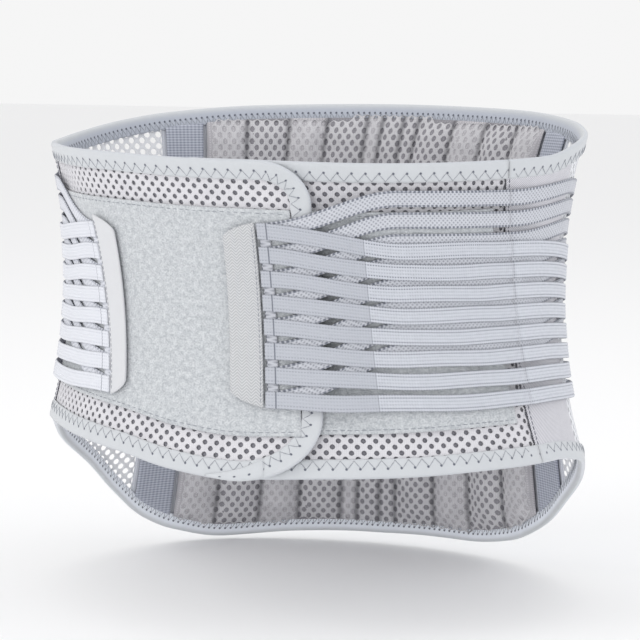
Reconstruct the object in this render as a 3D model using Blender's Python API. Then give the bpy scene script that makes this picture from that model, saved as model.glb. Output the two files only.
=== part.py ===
"""Lumbar support belt, closed round an open waist.

The belt stands round +Z with its back centre at +Y and its overlapping front at -Y.
Every cloth piece is cut as a flat pattern and then wrapped onto one waisted body form.
Places on the form are given by an angle round the waist from the back centre towards +X,
in degrees, a height in millimetres and a distance out from the form in millimetres.
"""

import math

import bmesh
import bpy
from mathutils import Vector

MM = 0.001

# The body form
HALF_WIDTH = 134.0
HALF_DEPTH = 102.3
WAIST_HEIGHT = 14.2
FLARE_SIDE = 0.091
FLARE_FRONT = 0.142
FLARE_REACH = 83.0
LOW_FLARE_RATE = 1.1
TWIST = 0.028

# Edge heights of the whole belt by angle from the back centre, (angle, height)
TOP_LEFT = ((0, 106), (31, 104.5), (56, 100), (69, 96), (87, 90), (102, 86.5), (124, 85.5), (150, 84.5), (180, 82.5))
TOP_RIGHT = ((0, 106), (31, 104.5), (56, 100), (69, 96), (87, 91), (102, 84.5), (124, 82.5), (150, 81.5), (180, 82.5))
LOW_LEFT = ((0, -150.5), (16, -152), (33, -155), (45, -149), (54, -139), (63, -122), (74, -101), (88, -83),
            (103, -66), (119, -61.5), (140, -62.5), (154, -65), (168, -70.5), (180, -73))
LOW_RIGHT = ((0, -150.5), (12, -149.5), (24, -149), (35, -144), (47, -129), (58, -109), (69, -93), (80, -79),
             (94, -72), (108, -69), (124, -69), (145, -70.5), (163, -71.5), (180, -73))

# Side seams
SEAM = 114.0
SEAM_LEAN = 0.045
SEAM_GAP = 0.3

# Sheet thicknesses and distances out from the form
MESH_THICK = 1.4
PANEL_THICK = 1.6
PLUSH_LOW, PLUSH_HIGH = 1.8, 3.0
HOOK_LOW, HOOK_HIGH = 3.4, 4.4
OVERLAP_LIFT = 4.8
UNDER_LOW, UNDER_HIGH = 3.5, 4.5
OUTER_LOW, OUTER_HIGH = 4.9, 5.9
TAB_HOOK_LOW, TAB_HOOK_HIGH = 3.5, 4.4
TAB_LOW, TAB_HIGH = 4.8, 6.0
PULL_LIFT = 4.8

# Wings and what is sewn to them
LEFT_END = 197.6
RIGHT_END = 195.0
CORNER = 9.0
CORNER_HEIGHT = 19.0
PLUSH_TOP_INSET = 23.0
PLUSH_LOW_INSET = 20.5
BINDING_WIDTH = 8.6
BINDING_THICK = 0.9
BINDING_GAP = 0.45

# Pulls: eight straps a side, each doubled round a fold
STRAPS = 8
STRAP_WIDTH = 8.2
FOLD_PITCH = 11.8
SEAM_PITCH = 10.7
RIGHT_FOLD = 173.0
RIGHT_FOLD_TOP = 48.6
LEFT_FOLD = 148.6
LEFT_FOLD_LEAN = -0.06
LEFT_FOLD_TOP = 44.6
LEFT_FOLD_PITCH = 11.15
OUTER_SEAM_TOP = 39.4
UNDER_SEAM_TOP = 65.2
REAR_OUTER_TOP = 20.0
REAR_UNDER_TOP = 62.0
REAR_PITCH = 9.7
HEM = 2.4

# Back
PANEL_END = 58.0
LINING_END = 46.0
CHANNELS = (-46.0, -35.7, -25.3, -16.0, -6.4, -2.6, 2.6, 6.4, 16.0, 25.3, 35.7, 46.0)
LINING_BACK = -2.4
LINING_SEAM = -3.9
LINING_PUFF = 2.6
TAPE_START, TAPE_END = 46.8, 57.2
OUTER_TAPE_START = 90.0
STAY_ANGLES = (-36.0, -16.0, 16.0, 36.0)
STAY_HALF = 2.1
ANCHOR_WIDTH = 3.5
COMB_COLUMNS = (25.8, 32.2, 45.1, 58.0, 70.7, 83.1, 89.3, 95.4, 101.6, 107.8, 113.6)


def blend(low, high, at):
    """Smooth step from 0 at low to 1 at high."""
    t = min(max((at - low) / (high - low), 0.0), 1.0)
    return t * t * (3.0 - 2.0 * t)


def curve(points, at):
    """Height on a smooth edge through (angle, height) points, level at both ends."""
    xs = [p[0] for p in points]
    ys = [p[1] for p in points]
    at = min(max(at, xs[0]), xs[-1])
    i = max(k for k in range(len(xs) - 1) if xs[k] <= at)
    rates = [(ys[k + 1] - ys[k]) / (xs[k + 1] - xs[k]) for k in range(len(xs) - 1)]

    def slope(k):
        if k == 0 or k == len(xs) - 1:
            return 0.0
        if rates[k - 1] * rates[k] <= 0.0:
            return 0.0
        return 2.0 * rates[k - 1] * rates[k] / (rates[k - 1] + rates[k])

    step = xs[i + 1] - xs[i]
    t = (at - xs[i]) / step
    low = (1 + 2 * t) * (1 - t) ** 2 * ys[i] + t * (1 - t) ** 2 * step * slope(i)
    return low + t * t * (3 - 2 * t) * ys[i + 1] + t * t * (t - 1) * step * slope(i + 1)


def place(angle, height, out):
    """World place of a point given by angle, height and distance out from the form."""
    t = (height - WAIST_HEIGHT) / FLARE_REACH
    rise = t * t if t > -1.0 else 1.0 + LOW_FLARE_RATE * (-t - 1.0)
    turn = math.radians(angle + TWIST * height)
    x = (HALF_WIDTH + out) * (1.0 + FLARE_SIDE * rise) * math.sin(turn)
    y = (HALF_DEPTH + out) * (1.0 + FLARE_FRONT * rise) * math.cos(turn)
    return Vector((x, y, height)) * MM


def top_edge(angle):
    """Height of the belt's top edge; angle may run past 180 round the front."""
    side = (angle + 180.0) % 360.0 - 180.0
    return curve(TOP_RIGHT if side > 0 else TOP_LEFT, abs(side))


def low_edge(angle):
    """Height of the belt's bottom edge; angle may run past 180 round the front."""
    side = (angle + 180.0) % 360.0 - 180.0
    return curve(LOW_RIGHT if side > 0 else LOW_LEFT, abs(side))


def seam(height):
    """Angle of either side seam, without its sign."""
    return SEAM + SEAM_LEAN * height


def left_lift(angle):
    """How far the left wing stands off the form, where it lies over the right wing."""
    return OVERLAP_LIFT * blend(122.0, 150.0, abs(angle))


def pull_lift(angle):
    """How far the right straps stand off, where they climb onto the left wing's end."""
    return PULL_LIFT * blend(147.0, 160.5, abs(angle))


def steps(start, stop, most):
    """Evenly spaced values from start to stop, no further apart than most."""
    count = max(1, math.ceil(abs(stop - start) / most - 1e-6))
    return [start + (stop - start) * k / count for k in range(count + 1)]


def finish(name, bm, colour, rough=0.9, smooth=True):
    """Make the named object with its own material from a closed mesh."""
    bmesh.ops.recalc_face_normals(bm, faces=bm.faces[:])
    if bm.calc_volume(signed=True) < 0:
        bmesh.ops.reverse_faces(bm, faces=bm.faces[:])
    mesh = bpy.data.meshes.new(name)
    bm.to_mesh(mesh)
    bm.free()
    for face in mesh.polygons:
        face.use_smooth = smooth
    obj = bpy.data.objects.new(name, mesh)
    bpy.context.scene.collection.objects.link(obj)
    material = bpy.data.materials.new(name)
    material.use_nodes = True
    shader = material.node_tree.nodes["Principled BSDF"]
    shader.inputs["Base Color"].default_value = (*colour, 1.0)
    shader.inputs["Roughness"].default_value = rough
    material.diffuse_color = (*colour, 1.0)
    mesh.materials.append(material)
    return obj


def pattern(columns, rows, keep=None):
    """Flat pattern: one cell per column and row, without the cells that keep refuses, one unit thick."""
    bm = bmesh.new()
    bmesh.ops.create_grid(bm, x_segments=columns, y_segments=rows, size=0.5)
    for vert in bm.verts:
        vert.co.x = round((vert.co.x + 0.5) * columns)
        vert.co.y = round((vert.co.y + 0.5) * rows)
        vert.co.z = 0.0
    if keep:
        middles = [(face, face.calc_center_median()) for face in bm.faces]
        spare = [face for face, c in middles if not keep(int(c.x), int(c.y))]
        bmesh.ops.delete(bm, geom=spare, context="FACES")
    grown = bmesh.ops.extrude_face_region(bm, geom=bm.faces[:], use_keep_orig=True)
    for item in grown["geom"]:
        if isinstance(item, bmesh.types.BMVert):
            item.co.z = 1.0
    return bm


def wrap(bm, to_belt):
    """Wrap a flat pattern onto the belt: to_belt gives (angle, height, out) of each corner."""
    for vert in bm.verts:
        cell = (round(vert.co.x), round(vert.co.y), round(vert.co.z))
        vert.co = place(*to_belt(*cell))
    return bm


def sheet(name, angles, low, high, row_height, out, colour, shift=None):
    """A cloth panel between two edges. out gives its (inner, outer) distances by angle."""
    tallest = max(high(a) - low(a) for a in angles)
    rows = max(1, math.ceil(tallest / row_height))

    def to_belt(i, j, k):
        angle = angles[i]
        height = low(angle) + (high(angle) - low(angle)) * j / rows
        if shift:
            angle = shift(angle, height)
        return angle, height, out(angle)[k]

    return finish(name, wrap(pattern(len(angles) - 1, rows), to_belt), colour)


def corner_cut(angle, start, end):
    """How much a rounded end takes off the top and the bottom at this angle."""
    way = abs(angle - start) - (abs(end - start) - CORNER)
    t = min(max(way / CORNER, 0.0), 1.0)
    return CORNER_HEIGHT * (1.0 - math.sqrt(max(0.0, 1.0 - t * t)))


def wing_angles(side, end):
    """Column angles of a wing from its seam to its rounded end."""
    start = side * SEAM
    stop = side * end
    body = steps(start, stop - side * CORNER, 6.0)
    turn = [stop - side * CORNER * (1 - math.sin(math.radians(d))) for d in (22, 44, 64, 78, 90)]
    return body + turn


def binding(name, path, out, thick, colour, shift):
    """Edge binding of U section. path holds (angle, height, inward angle, inward height)."""
    wide = BINDING_WIDTH
    gap = BINDING_GAP
    near = gap + BINDING_THICK
    section = (
        (-near, thick + near), (wide, thick + near), (wide, thick + gap), (-gap, thick + gap),
        (-gap, -gap), (wide, -gap), (wide, -near), (-near, -near),
    )
    bm = bmesh.new()
    rings = []
    for angle, height, in_angle, in_height in path:
        ring = []
        for inward, off in section:
            at = height + in_height * inward
            spot = shift(angle + in_angle * inward, at)
            ring.append(bm.verts.new(place(spot, at, out(spot) + off)))
        rings.append(ring)
    for first, second in zip(rings, rings[1:]):
        edges = []
        for ring in (first, second):
            for a, b in zip(ring, ring[1:] + ring[:1]):
                edges.append(bm.edges.get((a, b)) or bm.edges.new((a, b)))
        bmesh.ops.bridge_loops(bm, edges=edges)
    bm.faces.new(rings[0])
    bm.faces.new(rings[-1])
    return finish(name, bm, colour)


def along(angle, height):
    """Degrees of angle that make one millimetre along the belt at this place."""
    a = place(angle - 0.5, height, 0.0)
    b = place(angle + 0.5, height, 0.0)
    return MM / (b - a).length


def wing_path(side, end):
    """Path of a wing's binding: out along the top, round the end and back along the bottom."""
    start = side * SEAM
    stop = side * end
    straight = steps(start, stop - side * CORNER, 6.0)
    top = [(a, top_edge(a), 0.0, -1.0) for a in straight[:-1]]
    low = [(a, low_edge(a), 0.0, 1.0) for a in straight[:-1]]
    corner = stop - side * CORNER
    turn_top = []
    turn_low = []
    for d in (0, 18, 36, 54, 72, 90):
        s, c = math.sin(math.radians(d)), math.cos(math.radians(d))
        angle = corner + side * CORNER * s
        high = top_edge(angle) - CORNER_HEIGHT * (1 - c)
        deep = low_edge(angle) + CORNER_HEIGHT * (1 - c)
        tilt = along(angle, 0.0)
        turn_top.append((angle, high, -side * s * tilt, -c))
        turn_low.append((angle, deep, -side * s * tilt, c))
    down = steps(turn_top[-1][1], turn_low[-1][1], 14.0)[1:-1]
    edge = [(stop, h, -side * along(stop, 0.0), 0.0) for h in down]
    return top + turn_top + edge + turn_low[::-1] + low[::-1]


def seam_shift(side, angle, height):
    """Lean the columns near a wing's seam so that the first one lies on the seam."""
    near = 1.0 - blend(SEAM, SEAM + 24.0, abs(angle))
    return angle + side * near * (SEAM_LEAN * height + SEAM_GAP * 0.5)


def rear_shift(side, angle, height):
    """Lean the columns near a back piece's seam so that the last one lies on the seam."""
    near = blend(SEAM - 26.0, SEAM, abs(angle))
    return angle + side * near * (SEAM_LEAN * height - SEAM_GAP * 0.5)


def wing(side, name, end, lift, mesh_colour, plush_colour, bind_colour):
    """The stretch mesh, plush panel and binding of one wing."""
    start = side * SEAM
    angles = wing_angles(side, end)
    sheet(
        f"{name}_wing_mesh", angles,
        lambda a: low_edge(a) + corner_cut(a, start, side * end),
        lambda a: top_edge(a) - corner_cut(a, start, side * end),
        18.0, lambda a: (lift(a), lift(a) + MESH_THICK), mesh_colour,
        lambda a, h: seam_shift(side, a, h),
    )
    plush = steps(start + side * 4.5, side * (end - 5.4), 6.0)
    sheet(
        f"{name}_plush_panel", plush,
        lambda a: low_edge(a) + PLUSH_LOW_INSET,
        lambda a: top_edge(a) - PLUSH_TOP_INSET,
        18.0, lambda a: (lift(a) + PLUSH_LOW, lift(a) + PLUSH_HIGH), plush_colour,
        lambda a, h: seam_shift(side, a, h),
    )
    binding(
        f"{name}_wing_binding", wing_path(side, end), lift, MESH_THICK, bind_colour,
        lambda a, h: seam_shift(side, a, h),
    )


def strap_height(top_fold, fold_pitch, top_seam, i, fold, angle):
    """Centre height of strap i between its fold and the side seam."""
    t = blend(0.0, 1.0, (fold - abs(angle)) / 30.0)
    at_fold = top_fold - fold_pitch * i
    at_seam = top_seam - SEAM_PITCH * i
    return at_fold + (at_seam - at_fold) * t


def fold_angle(side, height):
    """Angle of the strap folds, without its sign."""
    if side > 0:
        return RIGHT_FOLD
    return LEFT_FOLD + LEFT_FOLD_LEAN * height


def strap_columns(fold):
    """Shares of the way from the fold to the seam at each column of a strap."""
    return steps(0.0, 1.0, 6.2 / (fold - SEAM))


def pull(side, name, lift, colours):
    """Eight outer straps, and the fan of inner runs joined by a hem at the fold."""
    fold = RIGHT_FOLD if side > 0 else LEFT_FOLD
    top_fold = RIGHT_FOLD_TOP if side > 0 else LEFT_FOLD_TOP
    pitch = FOLD_PITCH if side > 0 else LEFT_FOLD_PITCH
    shares = strap_columns(fold)
    half = STRAP_WIDTH / 2

    def outer_to_belt(index):
        def to_belt(i, j, k):
            rough = fold + (SEAM - fold) * shares[i]
            centre = strap_height(top_fold, pitch, OUTER_SEAM_TOP, index, fold, rough)
            height = centre + (j - 0.5) * 2 * half
            first = fold_angle(side, height)
            last = seam(height) + 0.6
            angle = first + (last - first) * shares[i]
            out = lift(angle) + (OUTER_LOW, OUTER_HIGH)[k]
            return side * angle, height, out
        return to_belt

    for index in range(STRAPS):
        bm = wrap(pattern(len(shares) - 1, 1), outer_to_belt(index))
        finish(f"{name}_strap_{index + 1}", bm, colours[0])

    rows = STRAPS * 2 - 1
    columns = len(shares)

    def under_to_belt(i, j, k):
        index = (rows - j) // 2
        edge = 1 if j % 2 else -1
        share = 0.0 if i < 2 else shares[i - 1]
        rough = fold + (SEAM - fold) * share
        centre = strap_height(top_fold, pitch, UNDER_SEAM_TOP, index, fold, rough)
        height = centre + edge * half
        first = fold_angle(side, height)
        last = seam(height) + 0.6
        angle = first + (last - first) * share
        if i < 2:
            angle = first - 0.1 - HEM * i
        return side * angle, height, lift(angle) + (UNDER_LOW, UNDER_HIGH)[k]

    bm = pattern(columns, rows, lambda i, j: i == 0 or j % 2 == 0)
    finish(f"{name}_under_straps", wrap(bm, under_to_belt), colours[1])


def tab(side, name, lift, top, low, width, colour, hook_colour):
    """The grip tab beyond the folds, and the hook patch on its inner face."""

    def outline(inset, share):
        bend = 1.0 - math.sqrt(max(0.0, 1.0 - share * share))
        return inset + 3.2 * share + 5.0 * bend

    def build(label, inset, levels, shares, cut_start):
        rows = 7

        def to_belt(i, j, k):
            share = shares[i]
            high = top - outline(inset, share)
            deep = low + outline(inset, share)
            height = deep + (high - deep) * j / rows
            first = fold_angle(side, height) + cut_start
            reach = width(height)
            angle = first + (reach - cut_start) * share * (1.0 - inset * 0.02)
            return side * angle, height, lift(angle) + levels[k]

        finish(label, wrap(pattern(len(shares) - 1, rows), to_belt), colour if inset == 0 else hook_colour)

    shares = (0.0, 0.42, 0.74, 0.93, 1.0)
    build(f"{name}_tab", 0.0, (TAB_LOW, TAB_HIGH), shares, 0.45)
    build(f"{name}_tab_hooks", 2.5, (TAB_HOOK_LOW, TAB_HOOK_HIGH), shares[:4], 0.6)


def rear_comb(side, name, seam_top, rear_top, levels, anchor, colour):
    """The rear runs of eight straps, joined by the tape that anchors them to the back."""
    rows = STRAPS * 2 - 1
    half = STRAP_WIDTH / 2
    columns = [anchor - ANCHOR_WIDTH] + [a for a in COMB_COLUMNS if a >= anchor]

    def to_belt(i, j, k):
        index = (rows - j) // 2
        edge = 1 if j % 2 else -1
        share = blend(anchor, SEAM, columns[i])
        at_rear = rear_top - REAR_PITCH * index
        at_seam = seam_top - SEAM_PITCH * index
        height = at_rear + (at_seam - at_rear) * share + edge * half
        angle = rear_shift(side, side * columns[i], height)
        return angle, height, levels[k]

    bm = pattern(len(columns) - 1, rows, lambda i, j: i == 0 or j % 2 == 0)
    finish(name, wrap(bm, to_belt), colour)


def lining():
    """The quilted lining: flat towards the back panel, puffed between its seams inside."""
    angles = []
    for first, last in zip(CHANNELS, CHANNELS[1:]):
        count = 3 if last - first > 8 else 2
        angles += [first + (last - first) * k / count for k in range(count)]
    angles.append(CHANNELS[-1])
    rows = 9

    def inner(angle):
        for first, last in zip(CHANNELS, CHANNELS[1:]):
            if first <= angle <= last:
                wide = min(1.0, (last - first) / 9.0)
                return LINING_SEAM - LINING_PUFF * wide * math.sin(math.pi * (angle - first) / (last - first))
        return LINING_SEAM

    def to_belt(i, j, k):
        angle = angles[i]
        low = low_edge(angle) + BINDING_WIDTH + 0.8
        high = top_edge(angle) - BINDING_WIDTH - 0.8
        return angle, low + (high - low) * j / rows, LINING_BACK if k else inner(angle)

    finish("back_lining", wrap(pattern(len(angles) - 1, rows), to_belt), (0.56, 0.57, 0.60))


def back():
    """Back panel, side mesh, lining, stays, tapes and edge bindings."""
    cloth = (0.70, 0.72, 0.76)
    sheet(
        "back_panel", steps(-PANEL_END, PANEL_END, 6.5), low_edge, top_edge,
        20.0, lambda a: (0.0, PANEL_THICK), cloth,
    )
    for side, name in ((-1, "left"), (1, "right")):

        def side_shift(a, h, s=side):
            return rear_shift(s, a, h)

        sheet(
            f"{name}_side_mesh", steps(side * (PANEL_END + 0.3), side * SEAM, 6.2), low_edge, top_edge,
            20.0, lambda a: (0.0, MESH_THICK), (0.74, 0.75, 0.77), side_shift,
        )
        sheet(
            f"{name}_outer_tape", steps(side * OUTER_TAPE_START, side * (SEAM - 1.2), 6.0),
            lambda a: low_edge(a) + BINDING_WIDTH + 0.8, lambda a: top_edge(a) - BINDING_WIDTH - 0.8,
            18.0, lambda a: (MESH_THICK + 0.4, UNDER_LOW - 0.5), (0.66, 0.67, 0.70), side_shift,
        )
        sheet(
            f"{name}_inner_tape", steps(side * TAPE_START, side * TAPE_END, 5.3),
            lambda a: low_edge(a) + BINDING_WIDTH + 0.8, lambda a: top_edge(a) - BINDING_WIDTH - 0.8,
            24.0, lambda a: (-1.9, -0.6), (0.42, 0.45, 0.52),
        )
        rear_comb(side, f"{name}_rear_straps", OUTER_SEAM_TOP, REAR_OUTER_TOP, (OUTER_LOW, OUTER_HIGH),
                  COMB_COLUMNS[0], (0.72, 0.73, 0.78))
        rear_comb(side, f"{name}_rear_under_straps", UNDER_SEAM_TOP, REAR_UNDER_TOP, (UNDER_LOW, UNDER_HIGH),
                  COMB_COLUMNS[1], (0.66, 0.67, 0.72))
    lining()
    for index, centre in enumerate(STAY_ANGLES):
        sheet(
            f"stay_{index + 1}", [centre - STAY_HALF, centre + STAY_HALF],
            lambda a: low_edge(a) + 17.0, lambda a: top_edge(a) - 17.0,
            20.0, lambda a: (-2.0, -0.4), (0.86, 0.86, 0.84),
        )

    flank = steps(PANEL_END + 0.3, SEAM, 6.2)
    around = [-a for a in reversed(flank)] + steps(-PANEL_END, PANEL_END, 6.5) + flank
    top = [(a, top_edge(a), 0.0, -1.0) for a in around]
    low = [(a, low_edge(a), 0.0, 1.0) for a in around]
    for label, path in (("top", top), ("bottom", low)):
        binding(
            f"back_{label}_binding", path, lambda a: 0.0, PANEL_THICK, (0.55, 0.58, 0.64),
            lambda a, h: rear_shift(1 if a > 0 else -1, a, h),
        )


def build():
    """Clear the scene and make every piece of the belt."""
    for obj in list(bpy.data.objects):
        bpy.data.objects.remove(obj, do_unlink=True)
    back()
    wing(-1, "left", LEFT_END, left_lift, (0.72, 0.73, 0.75), (0.80, 0.82, 0.83), (0.82, 0.83, 0.86))
    wing(1, "right", RIGHT_END, lambda a: 0.0, (0.72, 0.73, 0.75), (0.78, 0.80, 0.81), (0.82, 0.83, 0.86))
    sheet(
        "closure_hooks", steps(-192.6, -168.0, 6.2),
        lambda a: low_edge(a) + 26.0, lambda a: top_edge(a) - 29.0,
        18.0, lambda a: (HOOK_LOW, HOOK_HIGH), (0.88, 0.88, 0.89),
    )
    pull(1, "right", pull_lift, ((0.78, 0.79, 0.84), (0.70, 0.71, 0.76)))
    pull(-1, "left", left_lift, ((0.86, 0.87, 0.90), (0.78, 0.79, 0.83)))
    tab(1, "right", pull_lift, 52.8, -38.0, lambda h: 7.2, (0.80, 0.81, 0.82), (0.88, 0.88, 0.89))
    tab(-1, "left", left_lift, 52.5, -38.2, lambda h: 5.6 + 0.028 * h, (0.88, 0.88, 0.89), (0.90, 0.90, 0.90))


build()
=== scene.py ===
"""Lumbar support belt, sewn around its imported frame.

The belt stands round +Z, its back centre at +Y and its overlapping front at -Y. Cloth is cut
flat and wrapped onto one waisted form. A place on the form is an angle round the waist from the
back centre towards +X in degrees, a height in millimetres and a distance out in millimetres.
"""

import enum
import logging
import math
from collections.abc import Callable, Sequence
from dataclasses import dataclass
from functools import cached_property

import bmesh
import bpy
import numpy as np
from mathutils import Matrix, Vector, noise
from mathutils.bvhtree import BVHTree


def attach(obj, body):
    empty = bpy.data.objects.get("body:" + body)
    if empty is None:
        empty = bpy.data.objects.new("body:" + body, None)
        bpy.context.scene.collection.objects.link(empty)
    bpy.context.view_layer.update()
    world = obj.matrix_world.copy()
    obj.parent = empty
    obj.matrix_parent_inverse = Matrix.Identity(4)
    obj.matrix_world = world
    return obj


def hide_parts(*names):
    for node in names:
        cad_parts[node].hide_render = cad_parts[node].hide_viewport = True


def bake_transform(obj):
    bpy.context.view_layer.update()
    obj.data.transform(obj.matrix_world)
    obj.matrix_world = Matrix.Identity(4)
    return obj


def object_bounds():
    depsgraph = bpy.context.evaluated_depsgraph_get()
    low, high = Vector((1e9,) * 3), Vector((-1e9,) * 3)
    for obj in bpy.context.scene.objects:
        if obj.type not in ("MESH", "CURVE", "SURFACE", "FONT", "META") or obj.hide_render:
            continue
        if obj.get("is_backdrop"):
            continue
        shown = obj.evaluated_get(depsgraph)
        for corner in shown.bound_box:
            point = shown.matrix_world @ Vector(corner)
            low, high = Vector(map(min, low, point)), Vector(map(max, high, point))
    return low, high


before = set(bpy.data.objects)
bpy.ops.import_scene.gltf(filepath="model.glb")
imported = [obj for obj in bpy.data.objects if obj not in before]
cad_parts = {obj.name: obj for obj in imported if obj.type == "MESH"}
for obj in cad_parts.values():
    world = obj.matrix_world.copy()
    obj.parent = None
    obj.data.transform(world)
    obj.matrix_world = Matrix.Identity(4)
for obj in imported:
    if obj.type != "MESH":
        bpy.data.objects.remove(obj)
CAD_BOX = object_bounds()

log = logging.getLogger("belt")

MM = 0.001
Spot = tuple[float, float, float]
Colour = tuple[float, float, float]
Edge = tuple[tuple[float, float], ...]


class Side(enum.IntEnum):
    """The wearer-facing side of the belt that a piece belongs to."""

    LEFT = -1
    RIGHT = 1

    @property
    def word(self) -> str:
        """The side's name at the start of a piece's name."""
        return self.name.lower()


def smooth(low: float, high: float, at: float) -> float:
    """Smooth step between two values.

    Args:
        low: value at which the step is 0.
        high: value at which the step is 1.
        at: value to weigh.

    Returns:
        A share from 0 to 1.
    """
    t = min(max((at - low) / (high - low), 0.0), 1.0)
    return t * t * (3.0 - 2.0 * t)


def steps(start: float, stop: float, most: float) -> list[float]:
    """Evenly spaced values.

    Args:
        start: first value.
        stop: last value.
        most: widest step allowed.

    Returns:
        The values, both ends included.
    """
    count = max(1, math.ceil(abs(stop - start) / most - 1e-6))
    return [start + (stop - start) * k / count for k in range(count + 1)]


def rim_steps(start: float, stop: float, most: float, rim: float) -> list[float]:
    """Evenly spaced values with one more close to either end, where an edge is rounded.

    Args:
        start: first value.
        stop: last value.
        most: widest step allowed.
        rim: distance of the extra values from the ends.

    Returns:
        The values, both ends included.
    """
    way = math.copysign(rim, stop - start)
    return [start, *steps(start + way, stop - way, most), stop]


def tint(red: int, green: int, blue: int) -> Colour:
    """Linear colour from screen levels.

    Args:
        red: red level, 0 to 255.
        green: green level, 0 to 255.
        blue: blue level, 0 to 255.

    Returns:
        The linear colour.
    """
    levels = (red / 255, green / 255, blue / 255)
    return tuple(c / 12.92 if c < 0.04 else ((c + 0.055) / 1.055) ** 2.4 for c in levels)


@dataclass(frozen=True)
class Form:
    """The waisted form that the cloth is wrapped onto, with the belt's edge heights."""

    half_width: float = 134.0
    half_depth: float = 102.3
    waist_height: float = 14.2
    flare_side: float = 0.091
    flare_front: float = 0.142
    flare_reach: float = 83.0
    low_flare_rate: float = 1.1
    twist: float = 0.028
    top_left: Edge = ((0, 106), (31, 104.5), (56, 100), (69, 96), (87, 90), (102, 86.5),
                      (124, 85.5), (150, 84.5), (180, 82.5))
    top_right: Edge = ((0, 106), (31, 104.5), (56, 100), (69, 96), (87, 91), (102, 84.5),
                       (124, 82.5), (150, 81.5), (180, 82.5))
    low_left: Edge = ((0, -150.5), (16, -152), (33, -155), (45, -149), (54, -139), (63, -122),
                      (74, -101), (88, -83), (103, -66), (119, -61.5), (140, -62.5),
                      (154, -65), (168, -70.5), (180, -73))
    low_right: Edge = ((0, -150.5), (12, -149.5), (24, -149), (35, -144), (47, -129),
                       (58, -109), (69, -93), (80, -79), (94, -72), (108, -69), (124, -69),
                       (145, -70.5), (163, -71.5), (180, -73))

    def place(self, angle: float, height: float, out: float) -> Vector:
        """Place on the form.

        Args:
            angle: degrees from the back centre towards +X.
            height: height in millimetres.
            out: distance out from the form in millimetres.

        Returns:
            The place in metres.
        """
        t = (height - self.waist_height) / self.flare_reach
        rise = t * t if t > -1.0 else 1.0 + self.low_flare_rate * (-t - 1.0)
        turn = math.radians(angle + self.twist * height)
        x = (self.half_width + out) * (1.0 + self.flare_side * rise) * math.sin(turn)
        y = (self.half_depth + out) * (1.0 + self.flare_front * rise) * math.cos(turn)
        return Vector((x, y, height)) * MM

    @cached_property
    def girth_table(self) -> tuple[np.ndarray, np.ndarray]:
        """Angles round the waist and the tape-measure run to each of them.

        Returns:
            Angles, and the run at each of them.
        """
        angles = np.arange(-210.0, 210.1, 0.5)
        points = np.array([self.place(a, self.waist_height, 0.0) for a in angles]) / MM
        runs = np.concatenate([[0.0], np.cumsum(np.linalg.norm(np.diff(points, axis=0), axis=1))])
        return angles, runs - np.interp(0.0, angles, runs)

    def run(self, angle: float) -> float:
        """Millimetres round the waist from the back centre to an angle."""
        return float(np.interp(angle, *self.girth_table))

    def angle(self, run: float) -> float:
        """Angle at a tape-measure run from the back centre."""
        return float(np.interp(run, self.girth_table[1], self.girth_table[0]))

    def along(self, angle: float, height: float) -> float:
        """Degrees of angle that make one millimetre round the belt at a place.

        Args:
            angle: angle round the waist in degrees.
            height: height in millimetres.

        Returns:
            Degrees for each millimetre round the belt.
        """
        a = self.place(angle - 0.5, height, 0.0)
        b = self.place(angle + 0.5, height, 0.0)
        return MM / (b - a).length

    def top(self, angle: float) -> float:
        """Height of the belt's top edge; angle may run past 180 round the front."""
        return self._edge(self.top_left, self.top_right, angle)

    def low(self, angle: float) -> float:
        """Height of the belt's bottom edge; angle may run past 180 round the front."""
        return self._edge(self.low_left, self.low_right, angle)

    @staticmethod
    def _edge(left: Edge, right: Edge, angle: float) -> float:
        """Height on a smooth edge through points.

        Args:
            left: (angle, height) points of the left half.
            right: (angle, height) points of the right half.
            angle: angle at which the height is wanted.

        Returns:
            The height in millimetres.
        """
        turned = (angle + 180.0) % 360.0 - 180.0
        points = right if turned > 0 else left
        xs, ys = zip(*points)
        at = min(max(abs(turned), xs[0]), xs[-1])
        i = max(k for k in range(len(xs) - 1) if xs[k] <= at)
        rates = [(ys[k + 1] - ys[k]) / (xs[k + 1] - xs[k]) for k in range(len(xs) - 1)]

        def slope(k: int) -> float:
            """Slope of the edge at one of its points.

            Args:
                k: number of the knot.

            Returns:
                The slope there.
            """
            if k in (0, len(xs) - 1) or rates[k - 1] * rates[k] <= 0.0:
                return 0.0
            return 2.0 * rates[k - 1] * rates[k] / (rates[k - 1] + rates[k])

        step = xs[i + 1] - xs[i]
        t = (at - xs[i]) / step
        low = (1 + 2 * t) * (1 - t) ** 2 * ys[i] + t * (1 - t) ** 2 * step * slope(i)
        return low + t * t * (3 - 2 * t) * ys[i + 1] + t * t * (t - 1) * step * slope(i + 1)


@dataclass(frozen=True)
class Seams:
    """The two side seams where the wings are sewn to the back."""

    angle: float = 114.0
    lean: float = 0.045
    gap: float = 0.3

    def at(self, height: float) -> float:
        """Angle of either seam at a height, without its sign."""
        return self.angle + self.lean * height

    def on_wing(self, side: Side, angle: float, height: float) -> float:
        """Angle of a wing's column once its first columns lean along the seam."""
        near = 1.0 - smooth(self.angle, self.angle + 24.0, abs(angle))
        return angle + side * near * (self.lean * height + self.gap * 0.5)

    def on_back(self, side: Side, angle: float, height: float) -> float:
        """Angle of a back column once its last columns lean along the seam."""
        near = smooth(self.angle - 26.0, self.angle, abs(angle))
        return angle + side * near * (self.lean * height - self.gap * 0.5)


FORM = Form()
SEAMS = Seams()


def left_lift(angle: float) -> float:
    """How far the left wing stands off the form, where it lies over the right wing."""
    return 4.8 * smooth(122.0, 150.0, abs(angle))


def pull_lift(angle: float) -> float:
    """How far the right straps stand off, where they climb onto the left wing's end."""
    return 4.8 * smooth(147.0, 160.5, abs(angle))


def no_lift(angle: float) -> float:
    """A piece that lies straight on the form."""
    return 0.0


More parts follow.
